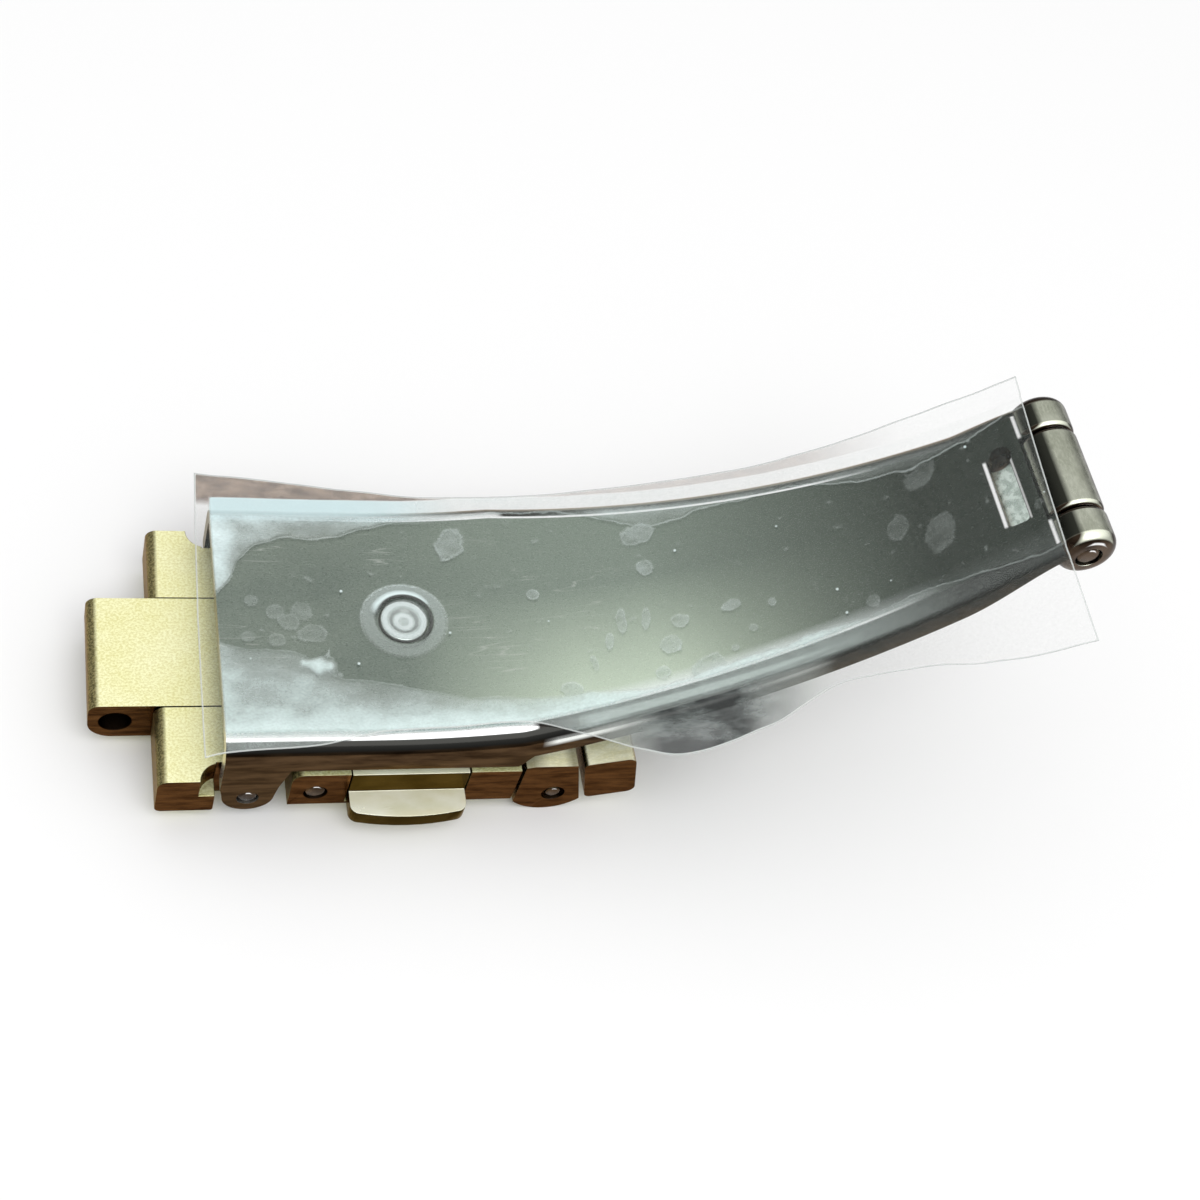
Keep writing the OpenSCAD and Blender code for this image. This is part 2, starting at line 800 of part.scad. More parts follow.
module end_piece_dowels() {
    color(STEEL_DARK)
        both_sides()
            translate([block_right - dowel_in, dowel_y, dowel_z])
                rotate([0, 90, 0])
                    cylinder(d = dowel_d, h = dowel_in + end_piece_gap + dowel_out);
}

// Plan of a lip of half length x: a bowed front whose corners are arcs tangent to the bow
module lip_shape(x) {
    bow_r = (pow(x, 2) + pow(lip_bow, 2)) / (2 * lip_bow);
    bow_y = half_w + lip_out + lip_bow - bow_r;
    corner_x = x - lip_round;
    corner_rise = sqrt(pow(bow_r - lip_round, 2) - pow(corner_x, 2));
    wedge = bow_r * 2 / corner_rise;
    root_y = half_w - cut;
    translate([-x, root_y])
        square([2 * x, bow_y + corner_rise - root_y]);
    for (side = [-1, 1])
        translate([side * corner_x, bow_y + corner_rise])
            circle(r = lip_round);
    intersection() {
        translate([0, bow_y])
            circle(r = bow_r, $fn = arc_fn);
        translate([0, bow_y])
            polygon([
                [0, 0], [corner_x * wedge, corner_rise * wedge], [-corner_x * wedge, corner_rise * wedge]
            ]);
        translate([-x, root_y])
            square([2 * x, bow_r]);
    }
}

// One button, on the far side
module button() {
    x = button_l / 2;
    rear_top = block_t - cap_t - 0.05;
    front_top = block_t - 0.05;
    z0 = button_z;
    nose_y = wire_l / 2 - 0.2;
    nose_z = wire_z - wire_d / 2 + 0.03;
    color(GOLD_POLISHED) {
        box(-x, x, button_back, half_w, z0, rear_top);
        box(-x, x, half_w - front_t, half_w, z0, front_top);
        box(-x - flange_out + 0.1, x + flange_out - 0.1, button_back, button_back + flange_t,
            z0 + 0.4, rear_top);
        // Lip with a bowed front
        translate([0, 0, z0])
            linear_extrude(height = lip_t)
                lip_shape(x);
        // Wedge that spreads the latch wires
        translate([0, 0, nose_z])
            linear_extrude(height = wire_d)
                polygon([[-1, button_back + 0.1], [-0.45, nose_y], [0.45, nose_y], [1, button_back + 0.1]]);
    }
}

module button_far() {
    button();
}

module button_near() {
    mirror([0, 1, 0])
        button();
}

// Points and faces of one round-wire coil along Z
function coil_points(r, wr, l, turns, n, k) = [
    for (i = [0:n])
        let (
            a = 360 * turns * i / n,
            rise = l / (2 * PI * r * turns),
            flat = 1 / sqrt(1 + rise * rise),
            er = [cos(a), sin(a), 0],
            et = [-sin(a) * flat, cos(a) * flat, rise * flat],
            eb = cross(et, er),
            mid = [r * cos(a), r * sin(a), l * i / n]
        )
        for (j = [0:k - 1])
            mid + wr * (cos(360 * j / k) * er + sin(360 * j / k) * eb)
];

function coil_faces(n, k) = concat(
    [for (i = [0:n - 1], j = [0:k - 1]) [i * k + j, i * k + (j + 1) % k, (i + 1) * k + j]],
    [for (i = [0:n - 1], j = [0:k - 1])
        [i * k + (j + 1) % k, (i + 1) * k + (j + 1) % k, (i + 1) * k + j]],
    [for (j = [1:k - 2]) [0, j + 1, j]],
    [for (j = [1:k - 2]) [n * k, n * k + j, n * k + j + 1]]
);

module coil(d, wire, l, turns) {
    steps = 12;
    sides = 6;
    n = round(turns * steps);
    translate([0, 0, wire / 2])
        polyhedron(
            points = coil_points(d / 2 - wire / 2, wire / 2, l - wire, turns, n, sides),
            faces = coil_faces(n, sides)
        );
}

module button_springs() {
    color(STEEL)
        for (sx = [-spring_x, spring_x])
            translate([sx, spring_in + 0.05, spring_z])
                rotate([-90, 0, 0])
                    coil(spring_d, spring_wire_d, button_back - spring_in - 0.15, spring_turns);
}

module far_button_springs() {
    button_springs();
}

module near_button_springs() {
    mirror([0, 1, 0])
        button_springs();
}

module last_link_place() {
    translate([last_pin_x, 0, last_pin_z])
        rotate([0, -last_tilt, 0])
            children();
}

module last_link() {
    low = -1;
    high = low + last_t;
    bar = 0.6;
    bore_x = last_reach + last_l - 0.8;
    bore_z = (low + high) / 2;
    tongue_r = 1.1;
    arm_in = half_row + row_gap;
    color(GOLD)
        last_link_place()
            difference() {
                union() {
                    across(band_w)
                        corner_rect(last_reach, low, last_reach + last_l, high, [0.35, 0.5, 0.5, 0.35]);
                    across(row_w - row_gap) {
                        circle(r = tongue_r);
                        translate([0, -0.6])
                            square([last_reach + 0.3, 1.2]);
                    }
                }
                box(last_reach + bar, last_reach + last_l + cut, -arm_in, arm_in, low - cut, high + cut);
                for (side = [-1, 1])
                    box(last_reach - cut, last_reach + last_l + cut, side * half_row - groove_w / 2,
                        side * half_row + groove_w / 2, low - cut, low + groove_d);
                pin_along(0, 0, last_pin_d / 2 + fit_gap, row_w + 2 * cut);
                translate([bore_x, half_w + cut, bore_z])
                    rotate([90, 0, 0])
                        cylinder(d = last_bore_d, h = band_w + cut - 1.1);
            }
}

module last_link_pin() {
    color(GOLD_POLISHED)
        pin_along(last_pin_x, last_pin_z, last_pin_d / 2, band_w - 0.1);
}

inner_blade();
latch_stud();
main_hinge_pin();
end_link_pin();
protective_film();
end_link_centre();
end_link_side_near();
end_link_side_far();
end_link_cross_pin();
middle_blade();
cover_hinge_pin();
cover_block();
retaining_plate();
plate_screws();
latch_wires();
cover_end_piece();
end_piece_dowels();
button_near();
button_far();
near_button_springs();
far_button_springs();
last_link();
last_link_pin();
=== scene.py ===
"""Looks of the folding watch clasp: camera, light, materials, edges and the clear film.

Lengths in the tables are millimetres and are turned into metres where a mesh is made.
"""
import math

import bmesh
import bpy
from mathutils import Matrix, Vector, noise


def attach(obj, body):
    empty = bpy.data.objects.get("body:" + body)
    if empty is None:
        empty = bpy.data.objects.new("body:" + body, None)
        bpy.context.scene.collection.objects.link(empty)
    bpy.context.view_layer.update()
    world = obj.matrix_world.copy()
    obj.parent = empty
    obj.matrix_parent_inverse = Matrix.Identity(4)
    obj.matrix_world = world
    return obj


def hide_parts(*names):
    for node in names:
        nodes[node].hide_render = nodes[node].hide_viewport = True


MM = 0.001

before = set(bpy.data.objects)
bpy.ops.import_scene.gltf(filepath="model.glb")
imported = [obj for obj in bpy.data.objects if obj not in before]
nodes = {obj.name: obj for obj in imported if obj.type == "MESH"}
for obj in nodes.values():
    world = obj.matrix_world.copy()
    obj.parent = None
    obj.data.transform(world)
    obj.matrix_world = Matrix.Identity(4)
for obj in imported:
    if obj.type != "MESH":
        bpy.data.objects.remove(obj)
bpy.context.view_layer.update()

# The inner blade's wrist side, as part.scad has it
FLAT_Z = 5.7
CURVE_R = 48.0
CURVE_X = -2.0
CURVE_Z = FLAT_Z + CURVE_R
CURVE_A = 45.9
BLADE_LEFT = 9.9
BLADE_HALF = 8.0
PLATE_T = 0.8
TAPER_X = 5.5
TIP_HALF = 4.8
BARREL_DROP = 1.42
BARREL_R = 1.65
BARREL_X = CURVE_X + (CURVE_R + BARREL_DROP) * math.sin(math.radians(CURVE_A))
BARREL_Z = CURVE_Z - (CURVE_R + BARREL_DROP) * math.cos(math.radians(CURVE_A))
TAPER_SLOPE = (BLADE_HALF - TIP_HALF) / (BARREL_X - TAPER_X)
BARREL_HALF = 5.0
KNUCKLE_HALF = 2.7
EAR_X = -8.4
EAR_Z = 1.1
EAR_R = 1.35
WALL_LOW_Z = 3.65
WALL_H = 1.8
WALL_SLANT_X = 5.3
WINDOW_BACK = 2.5
WINDOW_W = 4.5
WINDOW_L = 1.2
WINDOW_S = CURVE_X + CURVE_R * (math.radians(CURVE_A) - math.asin(WINDOW_BACK / CURVE_R))
RIVET_R = 1.4
# Bores painted dark inside as shade: x, z and radius
TAB_BORE = (-15.0, 1.4, 0.85)
COVER_PIN = (-4.9, 1.5, 0.63)
LAST_RECESS = (8.3, 0.8, 0.65)
FLOOR_Z = -0.85
# The photograph's camera in metres, solved from its parallel edges
CAMERA_PLACE = (-0.0213, -0.0565, 0.0893)
CAMERA_FORWARD = (0.306, 0.543, -0.782)
CAMERA_RIGHT = (0.952, -0.169, 0.255)
LENS_MM = 57
SENSOR_MM = 36
# Middle of the clasp, which the lamp points at, in metres
MIDDLE = (0.01, 0.0, 0.006)
FLOOR_R = 1.5
# Edges sharper than this, in degrees, are rounded
EDGE_ANGLE = 32
# Places along the band, in metres, where the painted reflection on the near edge changes, as in the
# photograph
WHITE_END = (0.0060, 0.0064)
GREY_START = (0.0076, 0.0092)
GREY_END = (0.022, 0.028)
# Where the film hangs past the near edge and is painted dark as shade: it fades in, stays, and fades out
DRAPE_X = (0.0080, 0.0125, 0.0165, 0.0215)
# Where the film past the far edge is painted brown as a reflection: it weakens, and ends
FLAP_WEAKER = (0.001, 0.005)
FLAP_END = (0.022, 0.028)
# Edges of the middle blade's painted lit strip that the window shows, along the band and across it
STRIP_X = (0.0306, 0.0308, 0.0317, 0.0319)
STRIP_Y = (-0.0026, -0.0024, 0.0020, 0.0022)
# Painted shade on the middle blade under the round hole: middle and half sizes
HOLE_SHADE_AT = (0.03126, 0.00286)
HOLE_SHADE_HALF = (0.00060, 0.00085)

bpy.context.scene.view_settings.view_transform = "Standard"


# Camera, light and floor

def aim_camera():
    data = bpy.data.cameras.new("camera")
    data.lens = LENS_MM
    data.sensor_width = SENSOR_MM
    data.clip_start = 0.001
    cam = bpy.data.objects.new("camera", data)
    bpy.context.scene.collection.objects.link(cam)
    forward = Vector(CAMERA_FORWARD).normalized()
    right = Vector(CAMERA_RIGHT)
    right = (right - forward * right.dot(forward)).normalized()
    up = right.cross(forward)
    turn = Matrix((right, up, -forward)).transposed().to_4x4()
    cam.matrix_world = Matrix.Translation(CAMERA_PLACE) @ turn
    bpy.context.scene.camera = cam


def add_lamp(name, direction, distance, size, power):
    data = bpy.data.lights.new(name, "AREA")
    data.shape = "DISK"
    data.size = size
    data.energy = power
    lamp = bpy.data.objects.new(name, data)
    bpy.context.scene.collection.objects.link(lamp)
    place = Vector(direction).normalized() * distance
    lamp.location = Vector(MIDDLE) + place
    lamp.rotation_euler = place.to_track_quat("Z", "Y").to_euler()


def light_world():
    world = bpy.data.worlds.new("studio")
    bpy.context.scene.world = world
    world.use_nodes = True
    tree = world.node_tree
    background = tree.nodes["Background"]
    where = tree.nodes.new("ShaderNodeTexCoord")
    split = tree.nodes.new("ShaderNodeSeparateXYZ")
    rise = tree.nodes.new("ShaderNodeMapRange")
    rise.interpolation_type = "SMOOTHSTEP"
    rise.inputs["From Min"].default_value = 0.05
    rise.inputs["From Max"].default_value = 0.75
    rise.inputs["To Min"].default_value = 0.22
    rise.inputs["To Max"].default_value = 1.05
    tree.links.new(where.outputs["Generated"], split.inputs[0])
    tree.links.new(split.outputs["Z"], rise.inputs["Value"])
    tree.links.new(rise.outputs["Result"], background.inputs["Strength"])
    background.inputs["Color"].default_value = (1.0, 1.0, 1.0, 1.0)


def lay_floor():
    mesh = bpy.data.meshes.new("floor")
    form = bmesh.new()
    bmesh.ops.create_circle(form, cap_ends=True, segments=96, radius=FLOOR_R)
    form.to_mesh(mesh)
    form.free()
    floor = bpy.data.objects.new("floor", mesh)
    bpy.context.scene.collection.objects.link(floor)
    floor.location.z = FLOOR_Z * MM
    paint = Material("floor_paper", (0.9, 0.9, 0.9), roughness=0.9)
    paint.value("Specular IOR Level", 0.1)
    mesh.materials.append(paint.mat)


# Materials

class Material:
    """A Principled material with short calls for its texture nodes."""

    def __init__(self, name, colour, metallic=0.0, roughness=0.5):
        self.mat = bpy.data.materials.new(name)
        self.mat.use_nodes = True
        self.tree = self.mat.node_tree
        self.shader = self.tree.nodes["Principled BSDF"]
        self.value("Base Color", (*colour, 1.0))
        self.value("Metallic", metallic)
        self.value("Roughness", roughness)
        self.coords = self.node("ShaderNodeTexCoord").outputs

    def node(self, kind, **settings):
        made = self.tree.nodes.new(kind)
        for key, value in settings.items():
            setattr(made, key, value)
        return made

    def value(self, socket, value):
        self.shader.inputs[socket].default_value = value

    def link(self, output, socket):
        self.tree.links.new(output, self.shader.inputs[socket])

    def join(self, output, target):
        self.tree.links.new(output, target)

    def stretched(self, scale, turn=0.0):
        """Object coordinates scaled to features per metre along x, y and z."""
        mapping = self.node("ShaderNodeMapping")
        self.join(self.coords["Object"], mapping.inputs["Vector"])
        mapping.inputs["Scale"].default_value = scale
        mapping.inputs["Rotation"].default_value = (0.0, 0.0, turn)
        return mapping.outputs["Vector"]

    def noise(self, scale, detail=3.0, rough=0.55, turn=0.0):
        made = self.node("ShaderNodeTexNoise")
        made.inputs["Scale"].default_value = 1.0
        made.inputs["Detail"].default_value = detail
        made.inputs["Roughness"].default_value = rough
        self.join(self.stretched(scale, turn), made.inputs["Vector"])
        return made.outputs["Fac"]

    def ramp(self, fac, low, high, a=0.0, b=1.0):
        """The factor taken from low…high to a…b."""
        made = self.node("ShaderNodeMapRange")
        made.inputs["From Min"].default_value = low
        made.inputs["From Max"].default_value = high
        made.inputs["To Min"].default_value = a
        made.inputs["To Max"].default_value = b
        self.join(fac, made.inputs["Value"])
        return made.outputs["Result"]

    def math(self, operation, a, b):
        made = self.node("ShaderNodeMath", operation=operation)
        for socket, item in zip(made.inputs, (a, b)):
            if isinstance(item, (int, float)):
                socket.default_value = item
            else:
                self.join(item, socket)
        return made.outputs[0]

    def mix(self, fac, a, b, blend="MIX"):
        made = self.node("ShaderNodeMix", data_type="RGBA", blend_type=blend)
        for name, item in (("Factor_Float", fac), ("A_Color", a), ("B_Color", b)):
            socket = next(s for s in made.inputs if s.identifier == name)
            if isinstance(item, (int, float)):
                socket.default_value = item
            elif isinstance(item, tuple):
                socket.default_value = (*item, 1.0)
            else:
                self.join(item, socket)
        return next(s for s in made.outputs if s.identifier == "Result_Color")

    def bump(self, height, strength, depth_mm):
        made = self.node("ShaderNodeBump")
        made.inputs["Strength"].default_value = strength
        made.inputs["Distance"].default_value = depth_mm * MM
        self.join(height, made.inputs["Height"])
        self.link(made.outputs["Normal"], "Normal")

    def scratches(self, turn, scale, width):
        """Thin sparse lines, from the crest of a stretched noise."""
        lines = self.noise((scale * 0.06, scale, scale * 0.06), detail=2.0, turn=turn)
        crest = self.math("ABSOLUTE", self.math("SUBTRACT", lines, 0.5), 0.0)
        thin = self.ramp(crest, 0.0, width, 1.0, 0.0)
        gate = self.noise((scale * 0.15,) * 3, detail=0.0, turn=turn + 1.0)
        return self.math("MULTIPLY", thin, self.ramp(gate, 0.56, 0.66))

    def facing(self, axis):
        """How far the surface faces along an object axis, 0 to 1, either way."""
        split = self.node("ShaderNodeSeparateXYZ")
        self.join(self.coords["Normal"], split.inputs[0])
        return self.math("ABSOLUTE", split.outputs[axis], 0.0)

    def normal(self):
        """The surface's direction along the object's x, y and z axes."""
        split = self.node("ShaderNodeSeparateXYZ")
        self.join(self.coords["Normal"], split.inputs[0])
        return split.outputs

    def both(self, *masks):
        """The product of several masks."""
        total = masks[0]
        for mask in masks[1:]:
            total = self.math("MULTIPLY", total, mask)
        return total

    def place(self):
        """Object coordinates in metres, as x, y and z outputs."""
        split = self.node("ShaderNodeSeparateXYZ")
        self.join(self.coords["Object"], split.inputs[0])
        return split.outputs

    def vertex_values(self, name):
        """The three numbers that a vertex attribute holds."""
        split = self.node("ShaderNodeSeparateXYZ")
        self.join(self.node("ShaderNodeAttribute", attribute_name=name).outputs["Vector"], split.inputs[0])
        return split.outputs

    def band(self, fac, low, rise, fall, high):
        """1 from rise to fall, fading to 0 at low and high."""
        return self.math("MULTIPLY", self.ramp(fac, low, rise), self.ramp(fac, fall, high, 1.0, 0.0))

    def layers(self, base, *coats):
        for mask, colour in coats:
            base = self.mix(mask, base, colour)
        return base


def satin_gold(name="satin_gold", polished=False, bore=None):
    """Fine-blasted gold tone, with painted reflection darkening its sides and painted shade on faces that
    turn along x; polished tops with painted dark bands, and a bore (x, z, r in mm) painted dark as shade,
    if asked.
    """
    m = Material(name, (0.93, 0.92, 0.48), metallic=1.0, roughness=0.42)
    m.value("Specular Tint", (0.87, 0.64, 0.55, 1.0))
    grain = m.noise((7000, 9000, 9000), detail=2.0, rough=0.7)
    cloud = m.noise((450, 600, 600), detail=3.0)
    streak = m.noise((420, 2600, 2600), detail=5.0, rough=0.7)
    side = m.ramp(m.facing("Y"), 0.45, 0.8)
    tip = m.ramp(m.facing("X"), *((0.5, 0.9) if polished else (0.06, 0.42)))
    toned = m.mix(m.ramp(cloud, 0.35, 0.65), (0.92, 0.91, 0.43), (0.99, 0.99, 0.56))
    fleck = m.mix(m.ramp(grain, 0.40, 0.60), (0.60, 0.54, 0.24), (1.0, 1.0, 0.76))
    face = m.mix(0.45, toned, fleck)
    # Painted shade: faces that turn along x darkened to an olive tone
    painted_end_shade = m.mix(m.ramp(grain, 0.42, 0.58), (0.05, 0.041, 0.012), (0.25, 0.21, 0.08))
    # Painted reflection: sides that face along y darkened to a streaked brown
    painted_side_reflection = m.mix(m.ramp(streak, 0.38, 0.62), (0.022, 0.010, 0.003), (0.108, 0.052, 0.018))
    if polished:
        x = m.place()["X"]
        # Painted shade: dark bands that the photograph shows on the end piece and beside the last link's
        # gap
        dark = m.math("MAXIMUM", m.ramp(x, 0.0066, 0.0075, 1.0, 0.0),
                      m.band(x, 0.0083, 0.0088, 0.0093, 0.0096))
        shine = m.mix(m.ramp(streak, 0.38, 0.60), (0.84, 0.81, 0.52), (1.0, 0.99, 0.76))
        face = m.mix(m.math("MULTIPLY", dark, 0.75), shine, (0.20, 0.18, 0.10))
    coats = [(m.ramp(tip, 0.0, 1.0, 0.0, 0.93), painted_end_shade), (side, painted_side_reflection)]
    if bore:
        x, _, z = m.place()
        off_x = m.math("SUBTRACT", x, bore[0] * MM)
        off_z = m.math("SUBTRACT", z, bore[1] * MM)
        square = m.math("ADD", m.math("MULTIPLY", off_x, off_x), m.math("MULTIPLY", off_z, off_z))
        inside = m.ramp(m.math("SQRT", square, 0.0), (bore[2] + 0.04) * MM, (bore[2] + 0.01) * MM)
        # Painted shade inside the bore
        coats.append((inside, (0.012, 0.007, 0.003)))
    m.link(m.layers(face, *coats), "Base Color")
    rough = m.ramp(grain, 0.3, 0.7, 0.32, 0.52)
    m.link(m.math("MULTIPLY", rough, m.ramp(side, 0.0, 1.0, 0.6 if polished else 1.0, 0.5)), "Roughness")
    m.link(m.ramp(m.normal()["Z"], 0.6, 0.9, 1.0, 0.05 if polished else 0.65), "Metallic")
    m.bump(grain, 0.1 if polished else 0.4, 0.014)
    return m.mat


def polished_gold():
    """Bright gold tone whose upright sides are darkened by a painted reflection."""
    m = Material("polished_gold", (0.80, 0.79, 0.58), metallic=1.0, roughness=0.2)
    m.value("Specular Tint", (0.90, 0.75, 0.55, 1.0))
    cloud = m.noise((500, 900, 900), detail=4.0)
    lines = m.scratches(0.4, 3000, 0.02)
    upright = m.ramp(m.facing("Z"), 0.6, 0.35)
    top = m.ramp(m.normal()["Z"], 0.6, 0.9)
    tone = m.mix(m.ramp(cloud, 0.35, 0.65), (0.84, 0.84, 0.62), (0.95, 0.96, 0.80))
    scratched = m.mix(m.math("MULTIPLY", lines, 0.5), tone, (0.55, 0.50, 0.30))
    # Painted reflection: upright sides a near black brown
    painted_upright_reflection = m.mix(m.ramp(cloud, 0.35, 0.65), (0.006, 0.003, 0.001), (0.034, 0.021, 0.006))
    m.link(m.mix(upright, scratched, painted_upright_reflection), "Base Color")
    m.link(m.ramp(cloud, 0.3, 0.7, 0.16, 0.28), "Roughness")
    m.link(m.ramp(top, 0.0, 1.0, 1.0, 0.25), "Metallic")
    m.bump(cloud, 0.1, 0.01)
    return m.mat


def blade_steel():
    """Rolled sheet: fine grain along the band and scratches, with painted light: lighter and darker patches
    along the band, polished bends with painted highlights and a painted dark band, and a painted brown
    reflection on the walls.
    """
    m = Material("blade_steel", (0.30, 0.32, 0.29), metallic=1.0, roughness=0.3)
    m.value("Specular Tint", (0.90, 0.75, 0.62, 1.0))
    x, y, _ = m.place()
    facing = m.facing("Y")
    across = m.math("ABSOLUTE", y, 0.0)
    grain = m.noise((6000, 14000, 6000), detail=2.0, rough=0.6)
    cloud = m.noise((160, 220, 220), detail=3.0)
    streak = m.noise((300, 2200, 2200), detail=4.0, rough=0.6)
    lines = m.both(m.math("MAXIMUM", m.scratches(0.5, 1500, 0.010), m.scratches(-0.9, 1100, 0.010)),
                   m.ramp(x, 0.010, 0.014, 0.4, 0.0))
    tone = m.mix(m.ramp(cloud, 0.35, 0.65), (0.126, 0.160, 0.132), (0.175, 0.213, 0.175))
    # Painted light: the sheet lighter further along the band
    tone = m.mix(m.ramp(x, -0.004, 0.008), tone, (0.198, 0.246, 0.203))
    taper = m.math("MULTIPLY", m.math("MAXIMUM", m.math("SUBTRACT", x, TAPER_X * MM), 0.0), TAPER_SLOPE)
    inset = m.math("SUBTRACT", m.math("ADD", y, BLADE_HALF * MM), taper)
    # Painted light: a lighter patch on the near half of the band
    lit = m.both(m.band(x, 0.0, 0.009, 0.015, 0.026), m.ramp(y, 0.0015, -0.0055))
    # Painted shade: darker towards the barrel end
    painted_dark_end = m.ramp(x, 0.013, 0.027)
    # Painted highlight: a pale band along the near edge of the wrist side
    near = m.both(m.ramp(inset, 0.0022, 0.0011), m.ramp(x, 0.019, 0.027, 1.0, 0.05))
    # Painted highlights: white lines along the window's edges and at the crease where the plate meets the
    # outer knuckles
    lips = m.both(m.ramp(across, 0.00225, 0.0021, 0.0, 1.0),
                  m.math("MAXIMUM", m.band(x, 0.03004, 0.03010, 0.03018, 0.03024),
                         m.ramp(m.band(x, 0.03112, 0.03116, 0.03120, 0.03124), 0.0, 1.0, 0.0, 0.6)))
    crease = m.both(m.band(across, 0.0027, 0.00285, 0.0043, 0.0046),
                    m.band(x, 0.03168, 0.03174, 0.03180, 0.03188))
    flat = m.layers(tone, (m.ramp(grain, 0.35, 0.65, 0.0, 0.16), (0.40, 0.43, 0.39)),
                    (m.math("MULTIPLY", lit, 0.85), (0.63, 0.735, 0.585)),
                    (m.math("MULTIPLY", painted_dark_end, 0.94), (0.018, 0.023, 0.018)),
                    (near, (0.86, 0.92, 0.92)),
                    (lines, (0.62, 0.64, 0.6)),
                    (m.math("MAXIMUM", lips, crease), (1.0, 1.0, 1.0)))
    # Painted reflection: the side walls a streaked brown, darker further along the band
    wall = m.mix(m.ramp(streak, 0.38, 0.62), (0.028, 0.015, 0.007), (0.088, 0.052, 0.026))
    wall = m.mix(m.ramp(x, 0.008, 0.012, 0.0, 0.8), wall, (0.022, 0.023, 0.021))
    # Painted reflection on the bends: white, then dark, grey and dark again along the band; a painted black
    # band below it and a painted white line at its top
    later = m.ramp(x, *GREY_START)
    bright = m.layers((0.97, 0.98, 0.98), (m.ramp(x, *WHITE_END), (0.022, 0.020, 0.018)),
                      (later, (0.15, 0.175, 0.165)), (m.ramp(x, *GREY_END), (0.05, 0.055, 0.052)))
    black = m.both(m.ramp(facing, 0.38, 0.45), m.ramp(later, 0.0, 1.0, 1.0, 0.0))
    crisp = m.both(m.band(facing, 0.01, 0.04, 0.10, 0.16), m.ramp(x, 0.0225, 0.026, 1.0, 0.0))
    # Painted highlight: a pale band on the walls
    wall_highlight = m.both(m.band(facing, 0.78, 0.84, 0.92, 0.97), m.band(x, 0.0066, 0.0074, 0.016, 0.022))
    m.link(m.layers(flat, (m.ramp(facing, 0.06, 0.14), bright),
                    (black, (0.026, 0.026, 0.024)),
                    (m.ramp(facing, 0.76, 0.84), wall),
                    (crisp, (0.97, 0.98, 0.98)),
                    (wall_highlight, (0.90, 0.92, 0.88))), "Base Color")
    rough = m.ramp(grain, 0.3, 0.7, 0.26, 0.34)
    m.link(m.math("MULTIPLY", rough, m.ramp(facing, 0.05, 0.3, 1.0, 0.45)), "Roughness")
    return m.mat


def turned_tone(m, low, high, rim_gain=2.1, end=(0.035, 0.023, 0.015), end_streak=(0.10, 0.068, 0.045)):
    """Colour of a turned piece: painted highlights on rims that face the viewer and up, a painted glint,
    and painted shade and reflection darkening the flanks and ends.
    """
    facing = m.facing("Y")
    nx, ny, nz = m.normal()
    grain = m.noise((9000, 3500, 9000), detail=2.0, rough=0.6)
    cloud = m.noise((600, 500, 600), detail=3.0)
    tone = m.mix(m.ramp(cloud, 0.35, 0.65), low, high)
    rim = tuple(min(1.0, rim_gain * channel) for channel in high)
    shade = tuple(0.10 * channel for channel in low)
    ends = m.mix(m.ramp(cloud, 0.4, 0.6), end, end_streak)
    # Painted highlight on rims that face the viewer and up, and a painted glint on the end
    lit = m.both(m.band(nx, -0.60, -0.46, 0.36, 0.50), m.ramp(nz, 0.1, 0.4))
    glint = m.both(m.band(ny, -0.985, -0.965, -0.93, -0.90), m.band(nx, -0.13, -0.08, 0.08, 0.13),
                   m.ramp(nz, 0.10, 0.16))
    # Painted shade on the left flanks
    far_left = m.both(m.ramp(nx, -0.46, -0.62), m.ramp(nz, 0.1, 0.4), m.ramp(facing, 0.2, 0.1))
    m.bump(grain, 0.1, 0.005)
    # Painted reflection: dark brown on the right flanks, the tilted rims and the ends, except under the
    # painted highlight
    return m.layers(tone, (m.ramp(grain, 0.4, 0.7, 0.0, 0.15), rim),
                    (far_left, shade),
                    (m.ramp(nx, 0.44, 0.62, 0.0, 0.92), end),
                    (m.ramp(facing, 0.08, 0.2), end),
                    (m.both(m.band(ny, -0.80, -0.70, -0.16, -0.08), lit), rim),
                    (m.ramp(facing, 0.75, 0.82), ends), (glint, (1.0, 1.0, 1.0)))


def turned_steel(name, low, high, rough, *ends):
    """Drawn and turned steel."""
    m = Material(name, high, metallic=1.0, roughness=rough)
    m.link(turned_tone(m, low, high, *ends), "Base Color")
    wear = m.noise((1500, 1500, 1500), detail=3.0)
    m.link(m.ramp(wear, 0.3, 0.7, rough * 0.8, rough * 1.2), "Roughness")
    return m.mat


